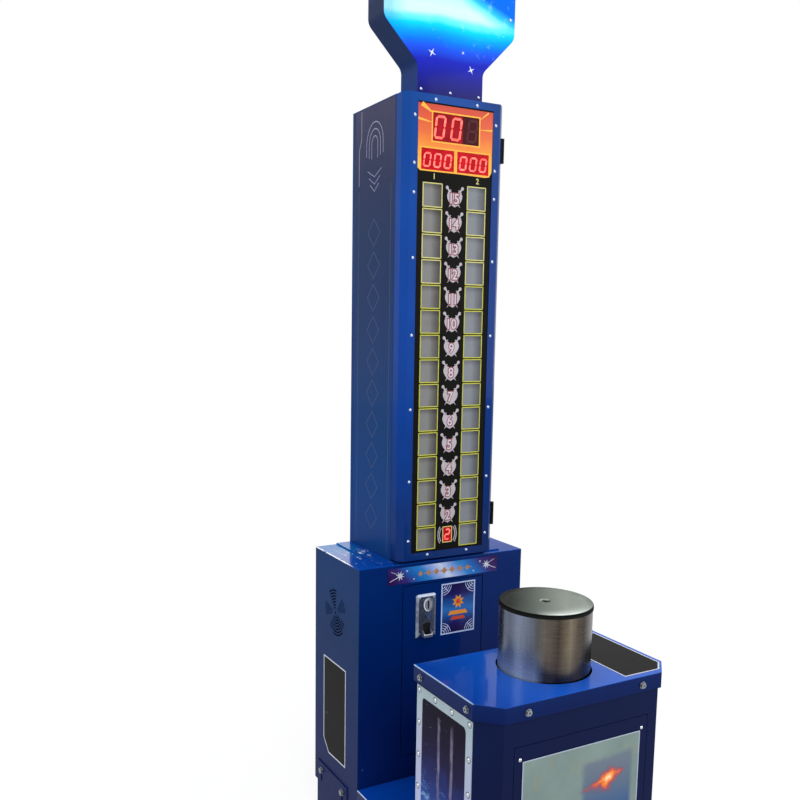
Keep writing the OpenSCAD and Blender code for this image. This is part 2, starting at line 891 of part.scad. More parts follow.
// Tower door: a bevelled tray with the window and the screw holes
function tower_plan(inset) =
    bevel_plan(tower_half, tower_front, tower_seam + inset, tower_bevel, inset);

module door_screw_places() {
    both_sides() for (z = edge_screw_z)
        translate([-edge_screw_x, tower_front, tower_foot + z]) children();
    both_sides() for (z = [glass_z0 - end_screw_off, glass_z1 + end_screw_off])
        translate([-end_screw_x, tower_front, z]) children();
}

module tower_door() {
    color("royalblue")
    difference() {
        translate([0, 0, tower_door_low])
            linear_extrude(height = tower_door_top - tower_door_low) polygon(tower_plan(0));
        translate([0, 0, tower_door_low + sheet])
            linear_extrude(height = tower_door_top - tower_door_low - 2 * sheet)
                polygon(concat([[-tower_half + sheet, tower_seam + 1]],
                    [for (i = [1:4]) tower_plan(sheet)[i]],
                    [[tower_half - sheet, tower_seam + 1]]));
        slab([-glass_w / 2, tower_front - 1, glass_z0], [glass_w / 2, tower_front + 4, glass_z1]);
        door_screw_places() rod_y([0, -1, 0], screw_hole_r, sheet + 2);
    }
}

// Upper hinge halves on the door, bored for the pins
module tower_hinge_barrels() {
    color("black")
    for (z = hinge_z) difference() {
        union() {
            translate([hinge_x, hinge_y, z + hinge_len / 2 + seat / 2])
                cylinder(r = hinge_r, h = hinge_len / 2 - seat / 2);
            slab([tower_half, tower_front + tower_bevel + 0.5, z + hinge_len / 2 + seat / 2],
                [tower_half + leaf_t, hinge_y, z + hinge_len]);
        }
        translate([hinge_x, hinge_y, z])
            cylinder(r = hinge_pin_r + hinge_fit, h = hinge_len - 3);
    }
}

module scoreboard_panel() {
    color("black")
    difference() {
        slab([-panel_half, panel_y0, panel_z0], [panel_half, panel_y1, panel_z1]);
        door_screw_places() rod_y([0, 0, 0], screw_hole_r, sheet + panel_t + 1);
    }
}

module scoreboard_screws() {
    color("silver")
    door_screw_places() facing("front") dome_screw(sheet + panel_t + 3);
}

// Lamp housing: two columns of open cells behind the windows
module lamp_cells(grow, y0, y1) {
    for (i = [0:row_n - 1], s = [-1, 1])
        slab([s * column_x - pane_w / 2 - grow, y0,
            tower_foot + row_first + i * row_pitch - pane_h / 2 - grow],
            [s * column_x + pane_w / 2 + grow, y1,
            tower_foot + row_first + i * row_pitch + pane_h / 2 + grow]);
}

module lamp_housing() {
    color("whitesmoke")
    difference() {
        both_sides()
            slab([-column_x - pane_w / 2 - lamp_wall, panel_y1,
                tower_foot + row_first - pane_h / 2 - lamp_wall],
                [-column_x + pane_w / 2 + lamp_wall, panel_y1 + lamp_d,
                row_top + pane_h / 2 + lamp_wall]);
        lamp_cells(0, panel_y1 - 1, panel_y1 + lamp_d + 1);
    }
}

// Lamp boards that close the cells from behind, with one lamp in each cell
module lamp_boards() {
    color("darkgreen") {
        both_sides()
            slab([-column_x - pane_w / 2, panel_y1 + lamp_d,
                tower_foot + row_first - pane_h / 2],
                [-column_x + pane_w / 2, panel_y1 + lamp_d + board_t, row_top + pane_h / 2]);
        for (i = [0:row_n - 1], s = [-1, 1])
            rod_y([s * column_x, panel_y1 + lamp_d - 5, tower_foot + row_first + i * row_pitch],
                8, 5 + board_t / 2);
    }
}

// Score, record and credit displays on the back of the scoreboard
module display_block(x, z, w, h) {
    slab([x - w / 2, panel_y1, z - h / 2], [x + w / 2, panel_y1 + display_d, z + h / 2]);
}

module display_modules() {
    color("firebrick") {
        display_block(0, score_z, score_w, score_h);
        display_block(-record_x, record_z, record_w, record_h);
        display_block(record_x, record_z, record_w, record_h);
        display_block(0, tower_foot + row_first + 8, credit_w, credit_h);
    }
}

// Header case, open at the front, with a lip for its panel
head_front = cab_front + head_back;
head_mid = head_front + head_d / 2;
head_panel_t = 3;
head_lip = 12;
head_screw_in = 14;
head_screws = [[-94, 18], [0, 18], [94, 18],
    [-head_w / 2 + head_screw_in, 241], [head_w / 2 - head_screw_in, 241],
    [-100, head_h - head_screw_in], [0, head_h - head_screw_in], [100, head_h - head_screw_in]];

module header_solid(inset, y0, y1) {
    translate([0, y1, tower_top]) rotate([90, 0, 0])
        linear_extrude(height = y1 - y0) polygon(header_plan(inset));
}

module header_shell() {
    color("royalblue")
    difference() {
        header_solid(0, head_front, head_front + head_d);
        header_solid(sheet, head_front + sheet, head_front + head_d - sheet);
        header_solid(head_lip + 13, head_front - 1, head_front + sheet + 1);
        translate([0, head_mid, tower_top - 1]) cylinder(r = cap_hole_r, h = sheet + 2);
        for (p = head_screws)
            rod_y([p[0], head_front - 1, tower_top + p[1]], screw_hole_r, sheet + 2);
    }
}

module header_panel() {
    color("dodgerblue")
    difference() {
        header_solid(0.5, head_front - head_panel_t, head_front);
        for (p = head_screws)
            rod_y([p[0], head_front - head_panel_t - 1, tower_top + p[1]], screw_hole_r,
                head_panel_t + 2);
    }
}

// Three lamp tubes with their end holders on the case's back
lamp_tube_r = 8;
lamp_tube_half = 150;
holder_w = 12;
holder_d = 32;
holder_half_h = 12;
lamp_tube_z = [for (k = [0.53, 0.68, 0.83]) k * head_h];

module header_lamps() {
    color("whitesmoke")
    for (z = lamp_tube_z) translate([0, head_front + head_d - sheet, tower_top + z]) {
        rod_x([-lamp_tube_half, lamp_tube_r + 2 - holder_d, 0], lamp_tube_r,
            2 * lamp_tube_half);
        for (x = [-lamp_tube_half - holder_w, lamp_tube_half])
            slab([x, -holder_d, -holder_half_h], [x + holder_w, 0, holder_half_h]);
    }
}

// Screws of the header's panel and of the back cover
module panel_screws() {
    color("silver") {
        for (p = head_screws)
            translate([p[0], head_front - head_panel_t, tower_top + p[1]])
                facing("front") dome_screw(head_panel_t + sheet + 3);
        both_sides() for (z = back_screw_z)
            translate([-half_w + back_screw_in, cab_back, z])
                facing("back") dome_screw(2 * sheet + 3);
        both_sides() translate([-half_w + front_screw_in, cab_front, rail_top + front_screw_up])
            facing("front") dome_screw(sheet + 3, small_head_r, small_head_h);
    }
}

// Coin door: a tray with turned edges and two bored blocks for the pivots
module coin_door() {
    color("royalblue")
    difference() {
        union() {
            difference() {
                slab([-door_half, cab_front, door_bottom],
                    [door_half, cab_front + door_lip, door_top]);
                slab([-door_half + sheet, cab_front + sheet, door_bottom + sheet],
                    [door_half - sheet, cab_front + door_lip + 1, door_top - sheet]);
            }
            for (z = [door_bottom + sheet / 2, door_top - sheet / 2 - 12])
                slab([-door_half + sheet / 2, cab_front + sheet / 2, z],
                    [pivot_x + 7, pivot_y + 7, z + 12]);
        }
        translate([pivot_x, pivot_y, door_bottom - 1])
            cylinder(r = pivot_r + pivot_fit, h = 14);
        translate([pivot_x, pivot_y, door_top - 13])
            cylinder(r = pivot_r + pivot_fit, h = 14);
        slab([-coin_x - coin_w / 2 + coin_cut_in, cab_front - 1, coin_low + coin_cut_in],
            [-coin_x + coin_w / 2 - coin_cut_in, cab_front + sheet + 1,
            coin_top - coin_cut_in]);
        rod_y([lock_x, cab_front - 1, lock_z], lock_r + 0.2, sheet + 2);
    }
}

// Scoop in front of the return cup: a floor and a lip between two sloping cheeks
module scoop() {
    face_y = cab_front - coin_t;
    low = cup_z - cup_h / 2 - scoop_t;
    slab([-coin_x - cup_w / 2 - cup_wall, face_y - scoop_d, low],
        [-coin_x + cup_w / 2 + cup_wall, cab_front, low + scoop_t]);
    slab([-coin_x - cup_w / 2 - cup_wall, face_y - scoop_d, low],
        [-coin_x + cup_w / 2 + cup_wall, face_y - scoop_d + scoop_t, low + scoop_lip]);
    for (x = [-coin_x - cup_w / 2 - cup_wall, -coin_x + cup_w / 2])
        translate([x, 0, 0]) rotate([90, 0, 90]) linear_extrude(height = cup_wall)
            polygon([[cab_front, low], [face_y - scoop_d, low],
                [face_y - scoop_d, low + scoop_lip], [face_y + eps, low + scoop_h],
                [cab_front, low + scoop_h]]);
}

// Plate with rounded upper corners and a wide bevel all round
module bevelled_plate() {
    face_y = cab_front - coin_t;
    rim_y = face_y + coin_bevel_d;
    mid_z = (coin_top + coin_low) / 2;
    intersection() {
        union() {
            slab([-coin_x - coin_w / 2, face_y, coin_low],
                [-coin_x + coin_w / 2, cab_front, coin_top - coin_corner]);
            slab([-coin_x - coin_w / 2 + coin_corner, face_y, coin_top - coin_corner - 1],
                [-coin_x + coin_w / 2 - coin_corner, cab_front, coin_top]);
            for (s = [-1, 1])
                rod_y([-coin_x + s * (coin_w / 2 - coin_corner), face_y,
                    coin_top - coin_corner], coin_corner, coin_t);
        }
        translate([-coin_x, 0, coin_low - 1]) linear_extrude(height = coin_h + 2)
            polygon([[-coin_w / 2 + coin_bevel, face_y], [coin_w / 2 - coin_bevel, face_y],
                [coin_w / 2, rim_y], [coin_w / 2, cab_front],
                [-coin_w / 2, cab_front], [-coin_w / 2, rim_y]]);
        translate([-coin_x - coin_w / 2 - 1, 0, mid_z]) rotate([90, 0, 90])
            linear_extrude(height = coin_w + 2)
                polygon([[face_y, -coin_h / 2 + coin_bevel], [rim_y, -coin_h / 2],
                    [cab_front, -coin_h / 2], [cab_front, coin_h / 2],
                    [rim_y, coin_h / 2], [face_y, coin_h / 2 - coin_bevel]]);
    }
}

// Face plate of the coin unit: slot boss, button collar and return cup
module coin_face_plate() {
    color("lightsteelblue")
    difference() {
        union() {
            bevelled_plate();
            for (s = [-1, 1])
                rod_y([entry_x, cab_front - coin_t - 3, entry_z + s * entry_rise], entry_r,
                    coin_t + 3);
            slab([entry_x - entry_r, cab_front - coin_t - 3, entry_z - entry_rise],
                [entry_x + entry_r, cab_front, entry_z + entry_rise]);
            scoop();
            rod_y([entry_x, cab_front - coin_t - 2, button_z], button_r + 4, coin_t + 2);
            slab([-coin_x - cup_w / 2 - cup_wall, cab_front - eps,
                cup_z - cup_h / 2 - cup_floor],
                [-coin_x + cup_w / 2 + cup_wall, cab_front - coin_t + cup_d,
                cup_z + cup_h / 2 + cup_wall]);
            slab([entry_x - 8, cab_front - eps, entry_z - 20],
                [entry_x + 8, cab_front + 14, entry_z + 18]);
        }
        slab([entry_x - 1.5, cab_front - coin_t - 4, entry_z - 11],
            [entry_x + 1.5, cab_front + 15, entry_z + 11]);
        rod_y([entry_x, cab_front - coin_t - 3, button_z], button_r + button_fit, coin_t + 4);
        slab([-coin_x - cup_w / 2, cab_front - coin_t - 1, cup_z - cup_h / 2],
            [-coin_x + cup_w / 2, cab_front - coin_t + cup_d - cup_wall, cup_z + cup_h / 2]);
        rod_x([-coin_x - cup_w / 2 - 1.6, flap_y, flap_z], flap_pin_r + 0.05, cup_w + 3.2);
    }
}

module reject_button() {
    color("red") {
        rod_y([entry_x, cab_front - coin_t - 5, button_z], button_r, coin_t + 5 + seat + 1);
        rod_y([entry_x, cab_front + seat, button_z], button_r + 2, 2);
        rod_y([entry_x, cab_front - eps, button_z], button_r - 4, 8 + eps);
    }
}

// Flap that hangs on its own pins in the mouth of the return cup
module return_flap() {
    color("silver") {
        rod_x([-coin_x - cup_w / 2 - 1.4, flap_y, flap_z], flap_pin_r, cup_w + 2.8);
        slab([-coin_x - cup_w / 2 + 0.5, flap_y - flap_t / 2, cup_z - cup_h / 2 + 0.6],
            [-coin_x + cup_w / 2 - 0.5, flap_y + flap_t / 2, flap_z]);
    }
}

// Coin acceptor behind the door, and the chute down to the cash box
acceptor_y = cab_front + 14;
acceptor_d = 62;
chute_d = 22;
chute_y = cab_front + 48;
chute_z = door_bottom + 8;
acceptor_low = cup_z + cup_h / 2 + cup_wall + 4;

module coin_acceptor() {
    color("dimgray") {
        difference() {
            slab([-coin_x - 27, acceptor_y, acceptor_low],
                [-coin_x + 27, acceptor_y + acceptor_d, coin_top - 3]);
            slab([entry_x - 2, acceptor_y - 1, entry_z - 12],
                [entry_x + 2, acceptor_y + 52, entry_z + 12]);
            slab([entry_x - 2, acceptor_y + 40, acceptor_low - 1],
                [entry_x + 2, acceptor_y + 52, entry_z + 12]);
            rod_y([entry_x, acceptor_y - 1, button_z], button_r - 3, 6);
        }
        difference() {
            slab([-coin_x - 22, chute_y, chute_z],
                [-coin_x + 26, chute_y + chute_d, acceptor_low]);
            slab([-coin_x - 20, chute_y + 2, chute_z - 1],
                [-coin_x + 24, chute_y + chute_d - 2, acceptor_low + 1]);
        }
    }
}

// Cam lock: body and nut in the door, bored for its plug
module door_lock() {
    color("silver")
    difference() {
        union() {
            rod_y([lock_x, cab_front - 3, lock_z], lock_r + 2, 3);
            rod_y([lock_x, cab_front - eps, lock_z], lock_r, 15);
            translate([lock_x, cab_front + sheet, lock_z]) rotate([-90, 0, 0])
                cylinder(r = 14, h = 5, $fn = 6);
        }
        rod_y([lock_x, cab_front - 4, lock_z], plug_r + plug_fit, 21);
    }
}

// Plug with its key slot, and the cam, which hangs down when unlocked
module lock_cam() {
    color("lightgray")
    difference() {
        union() {
            rod_y([lock_x, cab_front - 3.5, lock_z], plug_r, cam_y + cam_t - cab_front + 3.5);
            rod_y([lock_x, cam_y, lock_z], 8, cam_t);
            slab([lock_x - 8, cam_y, lock_z - cam_len], [lock_x + 8, cam_y + cam_t, lock_z]);
        }
        slab([lock_x - 1, cab_front - 4, lock_z - 4], [lock_x + 1, cab_front + 6, lock_z + 4]);
    }
}

// Places of the screws around a side frame, as Y and Z pairs
frame_step_z = (frame_z1 - frame_z0 - 2 * frame_screw_in) / (frame_rows - 1);
frame_step_y = (frame_y1 - frame_y0 - 2 * frame_screw_in) / (frame_columns - 1);
frame_screws = concat(
    [for (i = [0:frame_rows - 1], y = [frame_y0 + frame_screw_in, frame_y1 - frame_screw_in])
        [y, frame_z0 + frame_screw_in + i * frame_step_z]],
    [for (i = [1:frame_columns - 2], z = [frame_z0 + frame_screw_in, frame_z1 - frame_screw_in])
        [frame_y0 + frame_screw_in + i * frame_step_y, z]]);

// Pedestal side with turned top and bottom edges, seen from the left
module pedestal_side() {
    difference() {
        union() {
            slab([-half_w, ped_front + ped_bevel, deck_z], [-half_w + sheet, ped_back, ped_inner_z]);
            slab([-half_w, ped_front + ped_bevel + 8, deck_z],
                [-half_w + 30, ped_back - sheet, deck_z + sheet]);
            slab([-half_w, ped_front + ped_bevel + 8, ped_inner_z - sheet],
                [-half_w + 20, ped_back - sheet, ped_inner_z]);
        }
        for (p = frame_screws)
            rod_x([-half_w - 1, p[0], p[1]], screw_hole_r, sheet + 2);
        for (y = lid_bolt_y)
            rod_x([-half_w - 1, y, lid_bolt_z], lid_bolt_r + 0.5, sheet + 2);
        for (y = ped_foot_y)
            translate([-ped_foot_x, y, deck_z - 1]) cylinder(r = bolt_hole_r, h = sheet + 2);
    }
}

module pedestal_left_side() {
    color("royalblue") pedestal_side();
}

module pedestal_right_side() {
    color("royalblue") mirror([1, 0, 0]) pedestal_side();
}

// Pedestal front with its bevelled corners and a lip behind the cover
module pedestal_front() {
    outer = bevel_plan(half_w, ped_front, ped_front + ped_bevel, ped_bevel, 0);
    inner = bevel_plan(half_w, ped_front, ped_front + ped_bevel, ped_bevel, sheet);
    slant = sheet * sqrt(2);
    color("royalblue")
    difference() {
        union() {
            translate([0, 0, deck_z]) linear_extrude(height = ped_inner_z - deck_z)
                polygon([outer[1], outer[2], outer[3], outer[4],
                    [half_w - slant, ped_front + ped_bevel], inner[3], inner[2],
                    [-half_w + slant, ped_front + ped_bevel]]);
            slab([-cover_w / 2 - 10, ped_front + sheet / 2, cover_low - 10],
                [cover_w / 2 + 10, ped_front + 2 * sheet, cover_low + cover_h + 10]);
        }
        slab([-cover_w / 2 - cover_gap, ped_front - 1, cover_low - cover_gap],
            [cover_w / 2 + cover_gap, ped_front + sheet, cover_low + cover_h + cover_gap]);
        slab([-cover_w / 2 + cover_lip, ped_front, cover_low + cover_lip],
            [cover_w / 2 - cover_lip, ped_front + 3 * sheet, cover_low + cover_h - cover_lip]);
        cover_screw_places() rod_y([0, -1, 0], screw_hole_r, 3 * sheet);
        for (s = [-1, 1])
            rod_y([s * lid_bolt_x, ped_front - 1, lid_bolt_z], lid_bolt_r + 0.5, sheet + 2);
    }
}

module cover_screw_places() {
    both_sides() for (z = [cover_low + 31, cover_low + cover_h - 31])
        translate([-cover_w / 2 + 17, ped_front, z]) children();
}

module front_cover() {
    color("royalblue")
    difference() {
        slab([-cover_w / 2, ped_front, cover_low],
            [cover_w / 2, ped_front + sheet, cover_low + cover_h]);
        cover_screw_places() rod_y([0, -1, 0], screw_hole_r, 3 * sheet);
    }
}

module pedestal_back() {
    color("royalblue")
    difference() {
        slab([-half_w + sheet, ped_back - sheet, deck_z],
            [half_w - sheet, ped_back, ped_inner_z]);
        for (s = [-1, 1])
            rod_y([s * lid_bolt_x, ped_back - sheet - 1, lid_bolt_z], lid_bolt_r + 0.5,
                sheet + 2);
    }
}

// Lid: bevelled plate with a skirt and the hole for the drum
module pedestal_lid() {
    color("royalblue")
    difference() {
        translate([0, 0, skirt_z]) linear_extrude(height = lid_z - skirt_z)
            polygon(bevel_plan(lid_half, lid_front, lid_back, lid_bevel, 0));
        translate([0, 0, skirt_z - 1]) linear_extrude(height = lid_skirt + 1)
            polygon(bevel_plan(lid_half, lid_front, lid_back, lid_bevel, skirt_t));
        translate([0, target_y, skirt_z]) cylinder(r = drum_r + drum_gap, h = lid_z, $fn = 96);
        both_sides() for (y = lid_bolt_y)
            rod_x([-lid_half - 1, y, lid_bolt_z], lid_bolt_r + 0.5, skirt_t + 2);
        for (s = [-1, 1], y = [lid_front - 1, lid_back - skirt_t - 1])
            rod_y([s * lid_bolt_x, y, lid_bolt_z], lid_bolt_r + 0.5, skirt_t + 2);
    }
}

// Button headed bolt with a washer and a hexagon socket
module lid_bolt() {
    ball_r = 8.5;
    difference() {
        union() {
            cylinder(r = 9, h = 1.6);
            intersection() {
                translate([0, 0, 1]) sphere(r = ball_r);
                cylinder(r = 7, h = 6);
            }
        }
        translate([0, 0, 3.4]) cylinder(r = 2.9, h = 4, $fn = 6);
    }
    translate([0, 0, -13]) cylinder(r = lid_bolt_r, h = 13 + eps);
}

module lid_bolts() {
    color("silver") {
        both_sides() for (y = lid_bolt_y)
            translate([-lid_half, y, lid_bolt_z]) facing("left") lid_bolt();
        for (s = [-1, 1]) {
            translate([s * lid_bolt_x, lid_front, lid_bolt_z]) facing("front") lid_bolt();
            translate([s * lid_bolt_x, lid_back, lid_bolt_z]) facing("back") lid_bolt();
        }
    }
}

// Window of a side frame, grown or shrunk by the given amount, cut along X
module window_cut(x0, x1, grow) {
    y0 = frame_y0 + window_in - grow;
    y1 = frame_y1 - window_in + grow;
    z0 = frame_z0 + window_in - grow;
    z1 = frame_z1 - window_in + grow;
    r = window_r + grow;
    for (y = [y0 + r, y1 - r], z = [z0 + r, z1 - r])
        rod_x([x0, y, z], r, x1 - x0);
    slab([x0, y0 + r, z0], [x1, y1 - r, z1]);
    slab([x0, y0, z0 + r], [x1, y1, z1 - r]);
}

module side_frames() {
    color("gainsboro")
    both_sides() difference() {
        slab([-half_w - frame_t, frame_y0, frame_z0], [-half_w, frame_y1, frame_z1]);
        window_cut(-half_w - frame_t - 1, -half_w + 1, 0);
        for (p = frame_screws)
            rod_x([-half_w - frame_t - 1, p[0], p[1]], screw_hole_r, frame_t + 2);
    }
}

// Picture panes: one in each side frame and one on the front cover
picture_w = cover_w - 46;
picture_h = cover_h - 72;

module picture_panes() {
    color("darkslateblue") {
        both_sides() window_cut(-half_w - pane_t, -half_w, -0.4);
        slab([-picture_w / 2, ped_front - pane_t, cover_low + 36],
            [picture_w / 2, ped_front, cover_low + 36 + picture_h]);
    }
}

module cover_screws() {
    color("silver") {
        both_sides() for (p = frame_screws)
            translate([-half_w - frame_t, p[0], p[1]]) facing("left")
                dome_screw(frame_t + sheet + 3, frame_head_r, frame_head_h);
        cover_screw_places() facing("front") dome_screw(2 * sheet + 3);
    }
}

module flange_bolt_holes(z0, z1) {
    for (x = [-1, 1], y = [-1, 1])
        translate([x * flange_pcd / 2 * sin(45), target_y + y * flange_pcd / 2 * sin(45), z0])
            cylinder(r = bolt_hole_r, h = z1 - z0);
}

module mechanism_base() {
    color("dimgray")
    difference() {
        slab([-base_w / 2, target_y - base_d / 2, deck_z],
            [base_w / 2, target_y + base_d / 2, base_z]);
        flange_bolt_holes(deck_z - 1, base_z + 1);
    }
}

// Guide column on its flange
module guide_column() {
    color("gray")
    difference() {
        translate([0, target_y, base_z]) {
            cylinder(r = flange_r, h = flange_t);
            cylinder(r = column_out, h = column_top - base_z);
        }
        translate([0, target_y, base_z - 1]) cylinder(r = column_in, h = column_top);
        flange_bolt_holes(base_z - 1, base_z + flange_t + 1);
    }
}

module guide_bushes() {
    color("goldenrod")
    for (z = [bush_low, column_top - bush_h]) translate([0, target_y, z]) difference() {
        cylinder(r = column_in, h = bush_h);
        translate([0, 0, -1]) cylinder(r = plunger_r + plunger_fit, h = bush_h + 2);
    }
}

module bump_stop() {
    color("black")
    translate([0, target_y, column_top]) difference() {
        cylinder(r = column_out + 4, h = bump_h);
        translate([0, 0, -1]) cylinder(r = plunger_r + 4, h = bump_h + 2);
    }
}

// Return spring: one unbroken round wire wound around the column
function spring_point(t) =
    let (a = t * spring_turns * 360, ease = 0.06,
        s = t < ease ? t * t / (2 * ease)
            : t > 1 - ease ? 1 - ease - (1 - t) * (1 - t) / (2 * ease)
            : t - ease / 2)
    [spring_r * cos(a), spring_r * sin(a),
        spring_low + (spring_high - spring_low) * s / (1 - ease)];

module return_spring() {
    n = spring_turns * spring_steps;
    rings = [for (i = [0:n]) let (p = spring_point(i / n), a = i * 360 / spring_steps)
        for (k = [0:spring_sides - 1]) let (b = k * 360 / spring_sides)
            p + wire_r * [cos(b) * cos(a), cos(b) * sin(a), sin(b)]];
    walls = [for (i = [0:n - 1], k = [0:spring_sides - 1])
        let (a = i * spring_sides + k, b = i * spring_sides + (k + 1) % spring_sides)
        [a, a + spring_sides, b + spring_sides, b]];
    ends = [[for (k = [0:spring_sides - 1]) k],
        [for (k = [spring_sides - 1:-1:0]) n * spring_sides + k]];
    color("silver") translate([0, target_y, 0])
        polyhedron(points = rings, faces = concat(walls, ends), convexity = 10);
}

// Sensor on a bracket beside the collar
sensor_x = flange_r + 3;

module impact_sensor() {
    color("black")
    translate([0, target_y, 0]) {
        slab([sensor_x, -15, base_z], [sensor_x + 3, 15, collar_z + 15]);
        slab([sensor_x, -15, base_z], [sensor_x + 22, 15, base_z + 3]);
        slab([collar_r + 3, -12, collar_z - 30], [sensor_x + eps, 12, collar_z + 10]);
    }
}

// Striking disc with a rounded rim and a shallow dish
module strike_disc() {
    rim = 3;
    color("darkslategray")
    translate([0, target_y, strike_z - disc_t]) rotate_extrude($fn = 96)
        polygon(concat([[top_hole_r, 0], [disc_r, 0]],
            arc([disc_r - rim, disc_t - rim], rim, 0, 90),
            [[disc_r - 14, disc_t - 1.2], [top_hole_r + 6, disc_t - 0.4],
            [top_hole_r, disc_t - 1.4]]));
}

module rubber_pad() {
    color("black")
    translate([0, target_y, drum_top]) difference() {
        cylinder(r = rubber_r, h = pad_t, $fn = 96);
        translate([0, 0, -1]) cylinder(r = top_hole_r, h = pad_t + 2);
    }
}

// Drum: a tube with a thick web under the pad
module drum() {
    color("lightgray")
    translate([0, target_y, 0]) difference() {
        translate([0, 0, drum_low]) cylinder(r = drum_r, h = drum_top - drum_low, $fn = 96);
        translate([0, 0, drum_low - 1])
            cylinder(r = drum_r - drum_wall, h = plunger_top - drum_low + 1, $fn = 96);
        translate([0, 0, plunger_top - 1]) cylinder(r = top_bolt_r + 0.3, h = web_t + 2);
    }
}

// Plunger with its top flange and the collar that rides on the spring
module plunger_shaft() {
    color("silver")
    translate([0, target_y, 0]) difference() {
        union() {
            translate([0, 0, plunger_low]) cylinder(r = plunger_r, h = plunger_top - plunger_low);
            translate([0, 0, plunger_top - plunger_flange_t])
                cylinder(r = plunger_flange_r, h = plunger_flange_t);
            translate([0, 0, collar_z]) cylinder(r = collar_r, h = collar_t);
        }
        translate([0, 0, plunger_top - 40]) cylinder(r = top_bolt_r + 0.1, h = 41);
        translate([0, 0, plunger_low - 1]) cylinder(r = low_bolt_r + 0.1, h = 31);
    }
}

// Top bolt through the web, and the end disc with its bolt under the plunger
module plunger_bolts() {
    color("dimgray")
    translate([0, target_y, 0]) {
        difference() {
            union() {
                translate([0, 0, drum_top]) cylinder(r = top_hole_r - 1, h = top_head_h);
                translate([0, 0, plunger_top - top_bolt_in])
                    cylinder(r = top_bolt_r, h = web_t + top_bolt_in + 1);
            }
            translate([0, 0, drum_top + top_head_h - top_socket])
                cylinder(r = top_socket_r, h = top_socket + 1, $fn = 6);
        }
        translate([0, 0, plunger_low - end_disc_t]) cylinder(r = end_disc_r, h = end_disc_t);
        translate([0, 0, plunger_low - end_disc_t - 7]) cylinder(r = 9, h = 7.5, $fn = 6);
        translate([0, 0, plunger_low - end_disc_t - 1]) cylinder(r = low_bolt_r, h = low_bolt_in + 1);
    }
}

chassis_frame();
deck_box();
levelling_feet();
tie_plates();
frame_bolts();
cabinet_left_side();
cabinet_right_side();
cabinet_back();
cabinet_front();
cabinet_top();
cabinet_floor();
sign_plate();
cash_box();
loudspeaker();
power_supply();
control_board();
mains_inlet();
power_rocker();
tower_mount_plate();
tower_shell();
tower_hinge_pins();
tower_door();
tower_hinge_barrels();
scoreboard_panel();
scoreboard_screws();
lamp_housing();
lamp_boards();
display_modules();
header_shell();
header_panel();
header_lamps();
panel_screws();
coin_door();
coin_face_plate();
reject_button();
return_flap();
coin_acceptor();
door_lock();
lock_cam();
pedestal_left_side();
pedestal_right_side();
pedestal_front();
pedestal_back();
pedestal_lid();
lid_bolts();
front_cover();
side_frames();
picture_panes();
cover_screws();
mechanism_base();
guide_column();
guide_bushes();
bump_stop();
return_spring();
impact_sensor();
strike_disc();
rubber_pad();
drum();
plunger_shaft();
plunger_bolts();
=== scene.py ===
import math

import bmesh
import bpy
from mathutils import Matrix, Vector


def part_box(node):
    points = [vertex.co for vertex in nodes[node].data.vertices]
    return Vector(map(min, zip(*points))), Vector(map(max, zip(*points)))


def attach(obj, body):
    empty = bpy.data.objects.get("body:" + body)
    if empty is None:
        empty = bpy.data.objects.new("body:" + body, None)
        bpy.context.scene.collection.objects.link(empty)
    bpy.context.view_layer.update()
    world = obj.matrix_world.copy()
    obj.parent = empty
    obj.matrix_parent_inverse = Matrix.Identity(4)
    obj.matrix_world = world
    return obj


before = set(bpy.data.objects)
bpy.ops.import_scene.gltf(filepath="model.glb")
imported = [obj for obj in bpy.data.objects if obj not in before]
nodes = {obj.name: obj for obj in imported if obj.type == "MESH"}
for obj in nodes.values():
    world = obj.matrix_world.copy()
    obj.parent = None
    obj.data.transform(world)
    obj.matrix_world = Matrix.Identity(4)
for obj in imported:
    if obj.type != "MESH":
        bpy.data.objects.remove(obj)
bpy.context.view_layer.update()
scene = bpy.context.scene
MM = 0.001

# Places on the drum and the coin unit, in metres
DRUM_Y = -0.2985
PLATE_X = -0.061
PLATE_FRONT = 0.1591
SLOT_X = -0.057
SLOT_Z = 0.722
CUP_Z = 0.648

# Places on the scoreboard, the card and the front picture, in millimetres
MAIN_Z = 2061
RECORD_Z = 1975
CREDIT_Z = 927
FIRST_ROW = 921.0
ROW_PITCH = 68.57
COLUMN = 72.0
CARD = (52, 696.5, 119, 156)
FRONT_PICTURE = (0, 406, 356, 288)


# Camera
def aim_camera():
    """The camera stands left of the machine, above the lid, and looks slightly down."""
    yaw, pitch, roll = (math.radians(a) for a in (27.72, 7.49, 0.62))
    fwd = Vector((math.sin(yaw) * math.cos(pitch), math.cos(yaw) * math.cos(pitch), -math.sin(pitch)))
    side = Vector((math.cos(yaw), -math.sin(yaw), 0))
    up = side.cross(fwd)
    r2 = math.cos(roll) * side + math.sin(roll) * up
    u2 = math.cos(roll) * up - math.sin(roll) * side
    data = bpy.data.cameras.new("camera")
    data.sensor_width = 36
    data.lens = 39.28
    data.shift_x = 0.0366
    data.shift_y = 0.0549
    data.clip_end = 100
    cam = bpy.data.objects.new("camera", data)
    cam.matrix_world = Matrix.Translation((-1.355, -1.9405, 1.516)) @ Matrix(
        ((r2.x, u2.x, -fwd.x), (r2.y, u2.y, -fwd.y), (r2.z, u2.z, -fwd.z))).to_4x4()
    scene.collection.objects.link(cam)
    scene.camera = cam


aim_camera()


# Materials
def lin(hexa):
    """A colour written as RRGGBB, as linear red, green, blue and alpha."""
    out = []
    for i in (0, 2, 4):
        c = int(hexa[i:i + 2], 16) / 255
        out.append(c / 12.92 if c <= 0.04045 else ((c + 0.055) / 1.055) ** 2.4)
    return (*out, 1.0)


